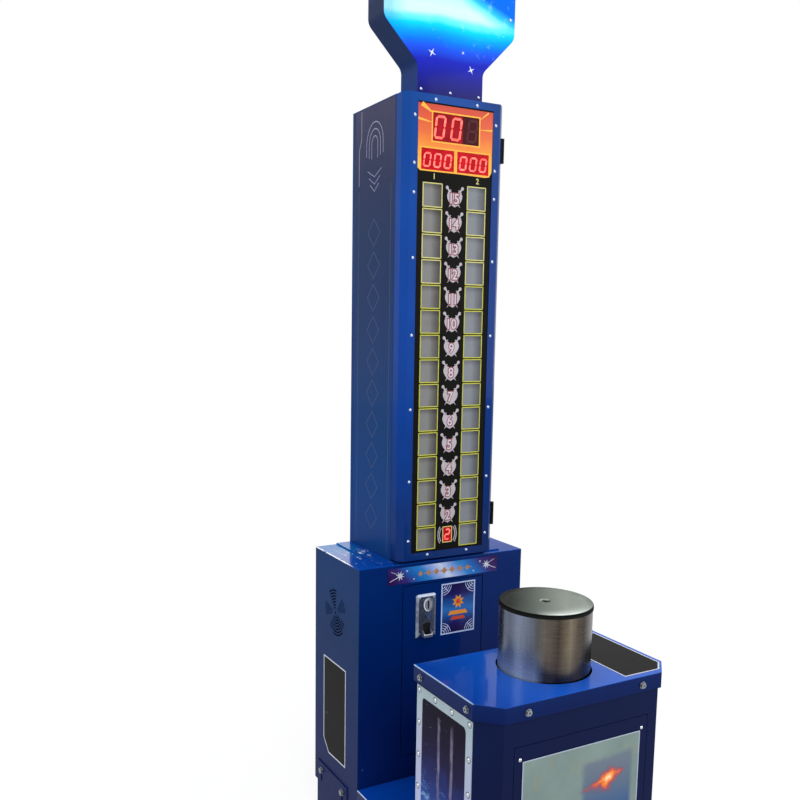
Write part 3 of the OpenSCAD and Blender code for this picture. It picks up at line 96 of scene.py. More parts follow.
class Value:
    """A number that varies over a surface. Arithmetic on it adds Math nodes."""

    def __init__(self, graph, socket):
        self.graph = graph
        self.socket = socket

    def math(self, op, *args, clamp=False):
        node = self.graph.node("ShaderNodeMath", {"operation": op, "use_clamp": clamp},
                               dict(enumerate(args)))
        return Value(self.graph, node.outputs[0])

    def __add__(self, o):
        return self.math("ADD", self, o)

    def __sub__(self, o):
        return self.math("SUBTRACT", self, o)

    def __rsub__(self, o):
        return self.math("SUBTRACT", o, self)

    def __mul__(self, o):
        return self.math("MULTIPLY", self, o)

    def __truediv__(self, o):
        return self.math("DIVIDE", self, o)

    def __pow__(self, o):
        return self.math("POWER", self, o)

    def __abs__(self):
        return self.math("ABSOLUTE", self)

    __radd__ = __add__
    __rmul__ = __mul__

    def sin(self):
        return self.math("SINE", self)

    def fract(self):
        return self.math("FRACT", self)

    def sign(self):
        return self.math("SIGN", self)

    def atan2(self, o):
        return self.math("ARCTAN2", self, o)

    def least(self, o):
        return self.math("MINIMUM", self, o)

    def beside(self, distance):
        """How far the value lies from two lines, one on each side of zero."""
        return abs(abs(self) - distance)

    def most(self, o):
        return self.math("MAXIMUM", self, o)

    def over(self, low, high):
        """0 at low, 1 at high, straight between them and level outside."""
        return self.math("MULTIPLY", self - low, 1.0 / (high - low), clamp=True)


class Graph:
    """A node tree with one way to add a node."""

    def __init__(self, tree):
        self.tree = tree

    def plug(self, socket, value):
        if isinstance(value, Value):
            value = value.socket
        if isinstance(value, bpy.types.NodeSocket):
            self.tree.links.new(value, socket)
        else:
            socket.default_value = value

    def node(self, kind, settings=None, inputs=None):
        made = self.tree.nodes.new(kind)
        for key, value in (settings or {}).items():
            if key == "stops":
                ramp = made.color_ramp
                while len(ramp.elements) < len(value):
                    ramp.elements.new(1.0)
                for stop, (at, colour) in zip(ramp.elements, value):
                    stop.position = at
                    stop.color = colour
            else:
                setattr(made, key, value)
        for key, value in (inputs or {}).items():
            self.plug(made.inputs[key], value)
        return made


class Finish(Graph):
    """A material with a Principled shader. Words with constants go on its own sockets."""

    def __init__(self, name, colour="808080", rough=0.5, metal=0.0, shine=0.3, coat=0.0, glow=0.0):
        self.mat = bpy.data.materials.new(name)
        self.mat.use_nodes = True
        super().__init__(self.mat.node_tree)
        self.shader = self.tree.nodes["Principled BSDF"]
        self.put("Base Color", lin(colour))
        self.put("Roughness", rough)
        self.put("Metallic", metal)
        self.put("Specular IOR Level", shine)
        self.put("Coat Weight", coat)
        self.put("Coat Roughness", 0.05)
        self.put("Emission Strength", glow)

    def put(self, socket, value):
        self.plug(self.shader.inputs[socket], value)

    def place(self):
        return self.node("ShaderNodeTexCoord").outputs["Object"]

    def xyz(self):
        parts = self.node("ShaderNodeSeparateXYZ", inputs={0: self.place()})
        return [Value(self, parts.outputs[i]) for i in range(3)]

    def noise(self, scale, detail=4.0, rough=0.55, stretch=(1, 1, 1), shift=(0, 0, 0)):
        where = self.node("ShaderNodeMapping", inputs={"Vector": self.place(), "Scale": stretch,
                                                       "Location": shift})
        made = self.node("ShaderNodeTexNoise", inputs={
            "Vector": where.outputs[0], "Scale": scale, "Detail": detail, "Roughness": rough})
        return Value(self, made.outputs["Fac"])

    def mix(self, factor, a, b):
        made = self.node("ShaderNodeMix", {"data_type": "RGBA"}, {0: factor, 6: a, 7: b})
        return made.outputs[2]

    def ramp(self, factor, *stops):
        made = self.node("ShaderNodeValToRGB", {"stops": [(at, lin(c)) for at, c in stops]}, {0: factor})
        return made.outputs[0]

    def shades(self, factor, *colours):
        """A ramp whose colours are evenly spaced."""
        return self.ramp(factor, *[(i / (len(colours) - 1), c) for i, c in enumerate(colours)])

    def relief(self, height, strength, depth=0.001):
        made = self.node("ShaderNodeBump", inputs={"Strength": strength, "Distance": depth,
                                                   "Height": height})
        self.put("Normal", made.outputs[0])


def paint(name, low, high, colours, gloss=0.22, coat=0.06, shine=0.04, wear=0.3, deep="050A20"):
    """Baked blue paint, its colours given from the height low to the height high.

    It has cloudy depth, faint orange peel, and fine scuffs that lie in patches."""
    f = Finish(name, rough=gloss, shine=shine, coat=coat)
    z = f.xyz()[2]
    cloud = f.noise(3.4, 3)
    tone = f.shades(z.over(low, high), *colours)
    tone = f.mix(cloud.over(0.35, 0.75) * 0.22, tone, lin(deep))
    scuff = f.noise(44, 6, 0.75, (1, 1, 0.4)).over(0.68, 0.73) * f.noise(2.6, 2).over(0.5, 0.62)
    tone = f.mix(scuff * wear, tone, lin("93A9D0"))
    f.put("Base Color", tone)
    f.put("Roughness", gloss + cloud * 0.1 + scuff * 0.25)
    f.relief(f.noise(420, 2) + f.noise(36, 2) * 0.7, 0.05, 0.0006)
    return f, tone


def plastic(name, colour, rough=0.5, grain=300, shine=0.12, spread=0.3):
    f = Finish(name, colour, rough, shine=shine)
    cloud = f.noise(9, 3)
    f.put("Base Color", f.mix(cloud.over(0.3, 0.75) * spread, lin(colour), lin("141414")))
    f.put("Roughness", rough + cloud * 0.12)
    f.relief(f.noise(grain, 3), 0.12, 0.0005)
    return f


def bright_line(name, colour, glow=0.0, rough=0.35):
    """Print ink or pale plastic for thin lines and small figures."""
    f = Finish(name, colour, rough, shine=0.1, glow=glow)
    grain = f.noise(140, 3)
    tone = f.mix(grain.over(0.35, 0.75) * 0.2, lin(colour), lin("6A6458"))
    f.put("Base Color", tone)
    f.put("Emission Color", tone)
    f.put("Roughness", rough + grain * 0.1)
    return f


def metal(name, colour="B8B8B6", rough=0.3, along=(1, 1, 60), bite=0.08, stain=0.25, dark="5E5E5E"):
    """Bare metal with fine drawn lines and faint stains."""
    f = Finish(name, colour, rough, 1.0)
    line = f.noise(90, 3, 0.6, along)
    cloud = f.noise(7, 4)
    tone = f.mix(line.over(0.3, 0.7) * 0.4, lin(colour), lin(dark))
    tone = f.mix(cloud.over(0.45, 0.75) * stain, tone, lin("6A6256"))
    f.put("Base Color", tone)
    f.put("Roughness", rough - 0.08 + line * 0.2 + cloud * 0.08)
    f.relief(line, bite, 0.0004)
    return f


def coin_metal():
    """Coin unit: dark grained face, painted highlights on the bevels at its left and top and on the front lip
    of the coin scoop, grey disc, and painted shade that makes the cup and slot black.
    """
    f = Finish("coin_metal", "3A4458", 0.3, 1.0)
    x, y, z = f.xyz()
    grain = f.noise(190, 5, 0.75)
    cloud = f.noise(46, 4, 0.6)
    across = abs(x - PLATE_X)
    tone = f.mix(grain.over(0.38, 0.7), lin("56627A"), lin("98A4BC"))
    tone = f.mix(cloud.over(0.4, 0.7) * 0.5, tone, lin("66748F"))
    # Painted highlight: the bevels at the left and top are pale, the top bevel palest.
    bright = f.mix(cloud.over(0.35, 0.65), lin("A4ACBA"), lin("667084"))
    bevel = (-0.0873 - x).most(z - 0.7458).over(0.0, 0.0006)
    proud = (PLATE_FRONT - y).over(0.0, 0.0004) * (abs(z - 0.688) - 0.0125).over(0.0, 0.0002)
    tone = f.mix(bevel.most(proud), tone, bright)
    tone = f.mix((z - 0.7462).over(0.0, 0.0006), tone, lin("B4C0D4"))
    disc = f.mix(x.over(-0.07, -0.05), lin("7C8294"), lin("A2A4B0"))
    tone = f.mix(proud * z.over(0.7, 0.702), tone, disc)
    tone = f.mix(proud * z.over(0.662, 0.66), tone, lin("666E84"))
    # Painted highlight: the front lip of the coin scoop is near white.
    lip = (z - 0.6334).over(0.0, 0.0004) * (0.1489 - y).over(0.0, 0.0003)
    tone = f.mix(lip, tone, lin("F0F4FC"))
    # Painted shade: the coin cup and the slot are painted black.
    cup = (0.0122 - across).over(0.0, 0.0002) * (0.0193 - abs(z - CUP_Z)).over(0.0, 0.0002) \
        * y.over(0.1597, 0.163)
    slot = (0.0026 - abs(x - SLOT_X)).over(0.0, 0.0004) * (0.0122 - abs(z - SLOT_Z)).over(0.0, 0.0004)
    tone = f.mix(cup.most(slot), tone, lin("080A0E"))
    f.put("Base Color", tone)
    f.put("Metallic", 1 - bevel.most(proud).most(slot) * 0.6)
    f.put("Roughness", 0.22 + grain * 0.2 + bevel * 0.1)
    f.relief(grain, 0.25, 0.0005)
    return f


def rightwards(x, y):
    """Metres to the right of the drum's axis, as the camera sees it."""
    return x * 0.885 - y * 0.466 - 0.139


def drum_steel():
    """Brushed drum: upright bands from grey to umber, which are a painted reflection, and fine rings. Its
    foot is bluer to the left, a painted reflection.
    """
    f = Finish("drum_steel", "8A8A8A", 0.26, 1.0)
    x, y, z = f.xyz()
    turn = x.atan2(y - DRUM_Y) / math.pi
    drift = f.noise(9, 3, 0.6, (1, 1, 0.35)) - 0.5
    # Painted reflection: these upright bands round the drum stand for what it reflects.
    band = f.ramp((drift * 0.05 - turn - 0.7806).fract(),
                  (0.0, "5A5148"), (0.05, "4E433A"), (0.09, "372B23"), (0.135, "5E5241"), (0.18, "7A6E5D"),
                  (0.235, "50463A"), (0.295, "34291F"), (0.37, "66605A"), (0.45, "3E4452"), (0.54, "2E3A54"),
                  (0.61, "4C5664"), (0.667, "666D7A"), (0.74, "5A6274"), (0.82, "788499"), (0.9, "646C7E"),
                  (0.95, "525252"), (1.0, "5C544D"))
    ring = f.noise(60, 3, 0.6, (0.4, 0.4, 22))
    brush = f.noise(30, 5, 0.65, (12, 12, 0.25))
    tone = f.mix(brush.over(0.35, 0.72) * 0.35, band, lin("302E2C"))
    tone = f.mix(ring.over(0.4, 0.75) * 0.16, tone, lin("A8A6A0"))
    # Painted reflection: the drum's foot takes a blue reflection, pale to the left and dark to the right.
    foot = z.over(0.775, 0.7)
    side = rightwards(x, y).over(-0.042, -0.02)
    tone = f.mix(foot * 0.5, tone, f.mix(side, lin("A2B6CC"), lin("34343E")))
    f.put("Base Color", tone)
    f.put("Metallic", 1 - foot * (1 - side) * 0.5)
    f.put("Roughness", 0.15 + ring * 0.12 + brush * 0.1)
    f.relief(ring + brush * 0.6, 0.12, 0.0004)
    return f


def disc_paint():
    """Dark green-grey disc, paler to the right as a painted sheen, with painted highlights along its front
    rim and at the back of its centre hole, and small pits.
    """
    f = Finish("disc_paint", rough=0.34, shine=0.015)
    x, y = f.xyz()[:2]
    back = y - DRUM_Y
    away = (x * x + back * back) ** 0.5
    cloud = f.noise(9, 5, 0.6)
    pits = f.noise(95, 4, 0.7).over(0.62, 0.7)
    across = rightwards(x, y)
    # Painted sheen: the disc turns from near black on the left to pale on the right.
    painted_sheen = (across - y * 0.25 - 0.0746 + (cloud - 0.5) * 0.05).over(-0.1, 0.055) ** 1.3
    tone = f.mix(painted_sheen, lin("0E120E"), lin("868E84"))
    tone = f.mix(cloud.over(0.4, 0.7) * 0.2, tone, lin("3A423A"))
    tone = f.mix(across.over(0.04, 0.12) * 0.55, tone, lin("4A524A"))
    # Painted highlight: a pale patch near the front rim, right of the middle.
    glare = away.over(0.06, 0.114) ** 2.5 * abs(across - 0.033).over(0.075, 0.02) * back.over(0.0, -0.03)
    tone = f.mix(glare, tone, lin("E2EAE0"))
    # Painted highlight: the back of the centre hole is pale.
    edge = away.over(0.0155, 0.0145) * back.over(0.0, 0.006)
    tone = f.mix(edge * 0.8, tone, lin("A8B0A6"))
    tone = f.mix(pits * 0.5, tone, lin("1C201E"))
    tone = f.mix(away.over(0.1128, 0.1142), tone, lin("0E100F"))
    f.put("Base Color", tone)
    f.put("Roughness", 0.3 + cloud * 0.2)
    f.relief(cloud * 0.8 + pits, 0.12, 0.0006)
    return f


def printed(name, rough=0.2, coat=0.08, shine=0.06, glow=0.0):
    return Finish(name, rough=rough, shine=shine, coat=coat, glow=glow)


def header_print():
    """Lit header sheet: an indigo neck, a slanting cyan band and clear blue above it."""
    f = printed("header_print", 0.16, glow=0.25)
    x, _, z = f.xyz()
    wave = (f.noise(6, 4) - 0.5) * 0.03
    rise = z - x * 0.04 + wave
    tone = f.ramp(rise.over(2.151, 2.406),
                  (0.0, "0C0E58"), (0.2, "12167E"), (0.38, "1620A4"), (0.5, "184CD0"), (0.56, "0468E2"),
                  (0.64, "0090F0"), (0.72, "00C0F8"), (0.79, "6CE0FA"), (0.84, "B8F8FC"), (0.9, "BCFAFF"),
                  (1.0, "A8F0FF"))
    tone = f.mix(x.over(-0.14, -0.19) * 0.5, tone, lin("0078D8"))
    over = (z - 2.432) + (x - 0.049) * 0.38 + wave
    tone = f.mix(over.over(-0.04, -0.004), tone, lin("30C0FA"))
    tone = f.mix(over.over(-0.01, 0.02), tone, lin("0060E0"))
    tone = f.mix(f.noise(30, 5, 0.65).over(0.6, 0.74) * z.over(2.25, 2.3) * 0.25, tone, lin("C8FFFF"))
    f.put("Base Color", tone)
    f.put("Emission Color", tone)
    return f


def score_print():
    """Scoreboard print behind the displays: red at the top, orange, then yellow below."""
    f = printed("score_print", glow=0.08)
    x, _, z = f.xyz()
    cloud = f.noise(13, 5, 0.6)
    level = z - abs(x) * 0.1 + (cloud - 0.5) * 0.035
    tone = f.shades(level.over(1.94, 2.105), "EEB44C", "E8A044", "DE8438", "D4683A", "CC563A", "C04A38")
    f.put("Base Color", tone)
    f.put("Emission Color", tone)
    return f


def pane_glass():
    """Frosted lamp windows: pale where the lamp shines on the cell, dark under its walls."""
    f = Finish("pane_glass", rough=0.3, shine=0.1, coat=0.08, glow=0.03)
    x, _, z = f.xyz()
    across = (x - x.sign() * (COLUMN * MM)) / 0.029
    up = ((z - (FIRST_ROW - ROW_PITCH / 2) * MM) / (ROW_PITCH * MM)).fract()
    shade = across.over(-0.1, 1.0) * 0.7 + up.over(0.7, 0.97) * 0.45 + (f.noise(24, 3) - 0.5) * 0.3
    tone = f.shades(shade.least(1.0), "777775", "636260", "514F4C", "3F3C3A", "2F2C2A")
    tone = f.mix(x.over(0.0, 0.01) * 0.4, tone, f.shades(shade.least(1.0), "788290", "5F6670", "3C4148"))
    f.put("Base Color", tone)
    f.put("Emission Color", tone)
    f.relief(f.noise(260, 3), 0.12, 0.0005)
    return f


def lit_plastic(name, colour, core, glow, rough=0.25):
    """Segments that shine, a little whiter in their middle."""
    f = Finish(name, colour, rough, shine=0.1, glow=glow)
    tone = f.mix(f.noise(70, 2).over(0.3, 0.7) * 0.5, lin(colour), lin(core))
    f.put("Base Color", tone)
    f.put("Emission Color", tone)
    return f


def display_glass():
    """Dark red display windows, brighter behind the lit digits."""
    f = Finish("display_glass", rough=0.2, shine=0.03, coat=0.02, glow=0.16)
    x, _, z = f.xyz()
    cloud = f.noise(26, 3).over(0.3, 0.75)
    tone = f.mix((0.024 - x).over(0.0, 0.008), lin("3E1016"), f.mix(cloud, lin("A4141E"), lin("760E16")))
    tone = f.mix((2.014 - z).over(0.0, 0.001), tone, f.mix(cloud, lin("C01420"), lin("8C0C14")))
    f.put("Base Color", tone)
    f.put("Emission Color", tone)
    return f


def sign_print():
    """Sign strip: plum ends, blue towards the middle and a pale blue-white centre."""
    f = printed("sign_print")
    x, _, z = f.xyz()
    drift = abs(x + (z - 0.816) * 0.9) + (f.noise(16, 4) - 0.5) * 0.035
    tone = f.ramp(drift.over(0.0, 0.19),
                  (0.0, "C4CFE8"), (0.16, "8FA6D8"), (0.34, "2C7AC0"), (0.56, "1C5CA8"), (0.74, "33286C"),
                  (1.0, "2C1448"))
    f.put("Base Color", tone)
    return f


def card_print():
    """Field of the card by the coin unit: midnight blue ends and a brighter middle."""
    f = printed("card_print")
    z = f.xyz()[2]
    level = abs(z - 0.694) + (f.noise(40, 4) - 0.5) * 0.03
    tone = f.ramp(level.over(0.0, 0.075),
                  (0.0, "2A66AC"), (0.35, "1C4688"), (0.62, "1E1A58"), (1.0, "171040"))
    f.put("Base Color", tone)
    return f


def side_print():
    """Long print on the tower's sides: plum black at the top, fading into blue below."""
    f = printed("side_print", 0.3, 0.04, 0.03)
    z = f.xyz()[2]
    cloud = f.noise(6, 4, 0.6, (1, 1, 0.3))
    tone = f.shades((z + (cloud - 0.5) * 0.3).over(0.86, 2.14), "0E3C78", "123C74", "163A6C", "1C3662",
                    "1E3258", "2A3452", "42415A")
    fleck = f.noise(110, 5, 0.75, (1, 1, 0.4)).over(0.62, 0.72)
    tone = f.mix(fleck * 0.2, tone, lin("6F7CA4"))
    f.put("Base Color", tone)
    f.put("Roughness", 0.28 + cloud * 0.12)
    f.relief(f.noise(300, 2), 0.05, 0.0005)
    return f


def plate_black():
    """Bare dark notice plates with faint scratches."""
    f = Finish("plate_black", rough=0.42, shine=0.04)
    cloud = f.noise(24, 5)
    tone = f.mix(cloud.over(0.35, 0.7), lin("0A0909"), lin("141211"))
    scratch = f.noise(60, 4, 0.7, (1, 0.25, 1)).over(0.66, 0.72)
    f.put("Base Color", f.mix(scratch * 0.35, tone, lin("7A7470")))
    f.put("Roughness", 0.36 + cloud * 0.15)
    f.relief(f.noise(420, 2), 0.06, 0.0004)
    return f


def night_picture():
    """Side pictures: a plum night field with pale upright shafts, and blue spray below."""
    f = printed("night_picture", 0.16, 0.03, 0.02)
    y, z = f.xyz()[1:]
    mist = f.noise(14, 6, 0.7, (1, 1, 0.7))
    tone = f.shades((z + (mist - 0.5) * 0.12).over(0.24, 0.6),
                    "0C3A7C", "185498", "284894", "202C66", "1A163C", "160F2A", "120A1E")
    spray = f.noise(34, 8, 0.78, (1, 0.45, 1.4)).over(0.55, 0.64) * z.over(0.44, 0.36)
    tone = f.mix(spray * 0.7, tone, lin("9CC8E4"))
    away = (y + 0.292 + (f.noise(10, 4, 0.6, (1, 1, 2)) - 0.5) * 0.012).beside(0.028)
    shaft = away.over(0.0075, 0.0025) * z.over(0.35, 0.4) * z.over(0.6, 0.57)
    tone = f.mix(shaft * f.noise(50, 5, 0.7, (1, 1, 0.3)).over(0.32, 0.62) * 0.75, tone, lin("8E86A0"))
    glint = f.noise(42, 4, 0.7, (1, 0.5, 2.5), (0, 3, 1)).over(0.68, 0.74) * z.over(0.42, 0.5)
    tone = f.mix(glint * 0.6, tone, lin("A89CB0"))
    f.put("Base Color", tone)
    return f


def sage_picture():
    """Front picture: a sage field, a slate panel to the right and an ember glow in it."""
    f = printed("sage_picture", 0.16)
    x, _, z = f.xyz()
    mist = f.noise(7, 5, 0.6)
    fine = f.noise(34, 5, 0.65)
    sage = f.mix(mist.over(0.3, 0.7), lin("7C8E88"), lin("6A7C78"))
    sage = f.mix(fine.over(0.5, 0.75) * 0.35, sage, lin("8A8468"))
    dusk = (x + (fine - 0.5) * 0.03).over(-0.005, 0.012) * (0.16 - x).over(0.0, 0.012) \
        * (0.505 - z + x * 0.06 + (fine - 0.5) * 0.02).over(0.0, 0.012)
    slate = f.shades(z.over(0.3, 0.5), "1C4478", "345482", "56667A", "66707C")
    tone = f.mix(dusk, sage, slate)
    ember = abs(x - 0.075) * 0.9 + abs(z - 0.435 - x * 0.2) * 2.0 + (f.noise(30, 6, 0.7) - 0.5) * 0.12
    fire = f.ramp(ember.over(0.0, 0.066),
                  (0.0, "FFE0B0"), (0.3, "F08A3C"), (0.65, "C0382A"), (1.0, "5A2840"))
    tone = f.mix(ember.over(0.066, 0.03), tone, fire)
    f.put("Base Color", tone)
    return f


def frame_silver():
    """Pale anodised frames, greenish at the top and cooler below."""
    f = Finish("frame_silver", rough=0.36, metal=0.15, shine=0.25)
    z = f.xyz()[2]
    cloud = f.noise(12, 4)
    line = f.noise(80, 3, 0.6, (1, 12, 1))
    tone = f.shades(z.over(0.22, 0.62), "A6AACC", "AAAED0", "A8B0CA", "9AACB2")
    tone = f.mix(cloud.over(0.4, 0.75) * 0.25 + line.over(0.4, 0.75) * 0.12, tone, lin("7E8A92"))
    f.put("Base Color", tone)
    f.put("Roughness", 0.3 + cloud * 0.14)
    f.relief(f.noise(380, 3), 0.05, 0.0004)
    return f


# Painted shade: the tower door's blue darkens towards the bottom and towards its right side.
TOWER, tone = paint("tower_blue", 0.86, 2.14, ("062A66", "0B3C8C", "0F4294", "12448E"), 0.2, 0.1)
TOWER.put("Base Color", TOWER.mix(TOWER.xyz()[0].over(0.05, 0.13) * 0.45, tone, lin("041C4C")))
BODY, _ = paint("body_blue", 0.1, 0.85, ("062260", "051C58", "00205E", "042664"), 0.22, 0.07, shine=0.02)
PEDESTAL, _ = paint("pedestal_blue", 0.2, 0.65, ("0A1642", "08133A", "08153C"), 0.26, 0.04, shine=0.03)
SIDE, _ = paint("side_blue", 0.1, 0.9, ("1C2450", "172A58", "11305C", "163868"), 0.3, 0.03, shine=0.02)
SHELL, _ = paint("shell_blue", 0.86, 2.14, ("0E3C80", "163C76", "203C6C", "2A3C64"), 0.3, 0.03, shine=0.02)
# Painted shade: the header shell is darkest in the middle of its height, on the underside of its flare.
HEADER, _ = paint("header_blue", 2.14, 2.5, ("1C4490", "24345A", "263250", "3E5EA0"), 0.3, 0.03, shine=0.03)
NAVY, _ = paint("navy_blue", 0.0, 0.2, ("10183C", "161E44"), 0.3, 0.05, wear=0.6)

# Painted light: the lid's top is paler than its skirt, and the top is darker towards its left end.
LID, lid_skirt_shade = paint("lid_blue", 0.65, 0.69, ("02184C", "041E54"), 0.12, 0.35)
lid_x, lid_y, lid_z = LID.xyz()
lid_top_lit = LID.mix(lid_x.over(-0.28, -0.06), lin("00388E"), lin("0850B4"))
tone = LID.mix(lid_z.over(0.6893, 0.6902), lid_skirt_shade, lid_top_lit)
# Painted highlight: a pale line along the top of the lid's left edge.
rim = lid_x.over(-0.2846, -0.2856) * lid_z.over(0.688, 0.6893) * lid_y.over(-0.42, -0.40)
LID.put("Base Color", LID.mix(rim * 0.75, tone, lin("B4D0EC")))
LID.put("Coat Weight", 0.03 + lid_z.over(0.6893, 0.6902) * 0.25)

# Painted light: the deck's top is much paler than its sides.
DECK, deck_side_shade = paint("deck_blue", 0.1, 0.19, ("101A48", "0C1C50"), 0.2, 0.12)
deck_x, _, deck_z = DECK.xyz()
deck_top_lit = DECK.mix(DECK.noise(4, 3).over(0.35, 0.7), lin("033C9A"), lin("023284"))
chip = DECK.noise(30, 5, 0.75, (1, 0.5, 1)).over(0.66, 0.7) * DECK.noise(4, 2).over(0.52, 0.6)
tone = DECK.mix(deck_z.over(0.1955, 0.1965), deck_side_shade, DECK.mix(chip, deck_top_lit, lin("A8C0DC")))
# Painted highlight: a pale line along the top of the deck's left edge.
rim = deck_x.over(-0.2778, -0.2788) * deck_z.over(0.1945, 0.1955)
DECK.put("Base Color", DECK.mix(rim * 0.85, tone, lin("D8E4F4")))

TOP, top_tone = paint("top_blue", 0.84, 0.86, ("02409A", "02409A"), 0.12, 0.1, shine=0.03)
top_x, top_y = TOP.xyz()[:2]
scrape = TOP.noise(46, 7, 0.8, (1, 0.7, 1)).over(0.57, 0.6) * TOP.noise(13, 2).over(0.46, 0.52)
near = top_x.over(-0.12, -0.15) * top_y.over(0.42, 0.34) * top_y.over(0.222, 0.24)
# Painted reflection: the rear left of the cabinet top is paler.
tone = TOP.mix(top_x.over(-0.16, -0.21) * top_y.over(0.27, 0.4), top_tone, lin("0664A4"))
tone = TOP.mix(scrape * (near * 0.9 + 0.05), tone, lin("F0F6FC"))
# Painted highlight: a broken pale line along the rear part of the top's left edge.
rim = top_x.over(-0.2774, -0.2784) * top_y.over(0.2, 0.24) * TOP.noise(24, 3, 0.6, (1, 1, 1)).over(0.3, 0.42)
TOP.put("Base Color", TOP.mix(rim, tone, lin("FCFEFF")))
haze = 0.02 + TOP.noise(20, 4, 0.7, (1, 0.4, 1)).over(0.45, 0.6) * 0.12
TOP.put("Coat Weight", haze * (0.1 + top_y.over(0.2, 0.36) * 0.75))
TOP.put("Roughness", 0.1 + TOP.noise(60, 4) * 0.14 + scrape * 0.3)

SCREW = metal("screw_metal", "C8CCD2", 0.2, (1, 1, 1), 0.02, 0.2)
PANEL_SCREW = metal("panel_screw", "C8CCD2", 0.2, (1, 1, 1), 0.02, 0.2)
screw_z = PANEL_SCREW.xyz()[2]
PANEL_SCREW.put("Base Color", PANEL_SCREW.mix(screw_z.over(0.32, 0.3), lin("A4AEC4"), lin("14244E")))
PANEL_SCREW.put("Metallic", screw_z.over(0.3, 0.32))
BOLT = metal("bolt_steel", "8E9298", 0.22, (1, 1, 1), 0.05, 0.4)
ZINC = metal("zinc_plate", "8C9096", 0.34, (1, 1, 1), 0.05, 0.35)
BRUSHED = metal("turned_steel", "A0A09F", 0.28, (1, 1, 30), 0.06, 0.2)
CHROME = metal("plunger_chrome", "D2D3D5", 0.12, (1, 1, 20), 0.02, 0.05)
BRONZE = metal("bush_bronze", "B08A4A", 0.36, (1, 1, 20), 0.05, 0.3)
COIN = coin_metal()
PALE = frame_silver()
BLACK = plastic("black_plastic", "161618", 0.5)
RUBBER = plastic("pad_rubber", "0C0C0C", 0.62, 160, 0.08)
HINGE = plastic("hinge_black", "08080A", 0.4, 500, 0.06)
WHITE = plastic("white_moulding", "D4D4D0", 0.45)
SPEAKER = plastic("speaker_navy", "060A1C", 0.6, shine=0.04)
GREEN = plastic("board_green", "0F4A24", 0.35, 600)
RED = plastic("red_key", "A81818", 0.28)
GREY, _ = paint("box_grey", 0.1, 0.24, ("4C4E52", "5C5E62"), 0.4, 0.05, wear=0.6, deep="2C2C2E")
BOARD = plastic("board_black", "0C0B09", 0.34, 420, 0.05)
EDGE = bright_line("plate_border", "C2C6D0")

finish_of = {
    "chassis_frame": NAVY, "deck_box": DECK, "tie_plates": SIDE, "cabinet_left_side": SIDE,
    "cabinet_right_side": SIDE, "cabinet_back": SIDE, "cabinet_front": BODY, "cabinet_top": TOP,
    "cabinet_floor": NAVY, "tower_mount_plate": TOP, "tower_shell": SHELL, "tower_door": TOWER,
    "header_shell": HEADER, "coin_door": BODY, "pedestal_left_side": PEDESTAL,
    "pedestal_right_side": PEDESTAL, "pedestal_front": PEDESTAL, "pedestal_back": PEDESTAL,
    "pedestal_lid": LID, "front_cover": PEDESTAL,
    "levelling_feet": ZINC, "frame_bolts": ZINC, "cash_box": GREY, "loudspeaker": SPEAKER,
    "power_supply": BRUSHED, "control_board": GREEN, "mains_inlet": BLACK, "power_rocker": RED,
    "tower_hinge_pins": HINGE, "tower_hinge_barrels": HINGE, "scoreboard_panel": BOARD,
    "scoreboard_screws": PANEL_SCREW, "lamp_housing": WHITE, "lamp_boards": GREEN, "display_modules": BLACK,
    "header_lamps": WHITE, "panel_screws": PANEL_SCREW, "coin_face_plate": COIN,
    "reject_button": plastic("key_blue", "38496E", 0.2, 500),
    "return_flap": BLACK, "coin_acceptor": BLACK, "door_lock": SCREW, "lock_cam": ZINC,
    "lid_bolts": BOLT, "side_frames": PALE, "cover_screws": SCREW, "mechanism_base": HINGE,
    "guide_column": BRUSHED, "guide_bushes": BRONZE, "bump_stop": RUBBER, "return_spring": BRUSHED,
    "impact_sensor": BLACK, "strike_disc": disc_paint(), "rubber_pad": RUBBER, "drum": drum_steel(),
    "plunger_shaft": CHROME,
    "plunger_bolts": metal("black_steel", "161618", 0.35, (1, 1, 1), 0.05, 0.2, "0A0A0A"),
    "sign_plate": sign_print(), "header_panel": header_print(), "picture_panes": night_picture(),
}
for name, ob in nodes.items():
    ob.data.materials.clear()
    ob.data.materials.append(finish_of[name].mat)


def soften(name, width):
    """Rounds the sheet edges of a CAD node, so that they catch the light."""
    ob = nodes[name]
    weld = ob.modifiers.new("weld", "WELD")
    weld.merge_threshold = 0.00002
    flat = ob.modifiers.new("flatten", "DECIMATE")
    flat.decimate_type = "DISSOLVE"
    flat.angle_limit = math.radians(0.5)
    bevel = ob.modifiers.new("edges", "BEVEL")
    bevel.width = width
    bevel.segments = 2
    bevel.limit_method = "ANGLE"
    bevel.angle_limit = math.radians(35)


for width, names in (
        (0.0018, ("pedestal_lid",)),
        (0.0012, ("tower_door", "deck_box", "chassis_frame")),
        (0.0009, ("cabinet_top", "cabinet_left_side", "cabinet_right_side", "tower_mount_plate", "tie_plates",
                  "header_shell", "header_panel", "pedestal_front", "cabinet_front", "coin_door",
                  "front_cover", "cash_box")),
        (0.0006, ("side_frames", "coin_face_plate"))):
    for name in names:
        soften(name, width)


# Placing: each matrix turns millimetres along a face (u, v) and out of it into metres
def front(y):
    """Faces -Y: u is X and v is Z."""
    return Matrix(((1, 0, 0, 0), (0, 0, -1, y), (0, 1, 0, 0), (0, 0, 0, 1000))) * MM


def flank(x):
    """Faces away from the middle: u is Y and v is Z."""
    s = 1 if x > 0 else -1
    return Matrix(((0, 0, s, x), (1, 0, 0, 0), (0, 1, 0, 0), (0, 0, 0, 1000))) * MM


def above(z):
    """Faces up: u is X and v is Y."""
    return Matrix(((1, 0, 0, 0), (0, 1, 0, 0), (0, 0, 1, z), (0, 0, 0, 1000))) * MM


def at(on, u, v, lift=0.0):
    return on @ Matrix.Translation((u, v, lift))


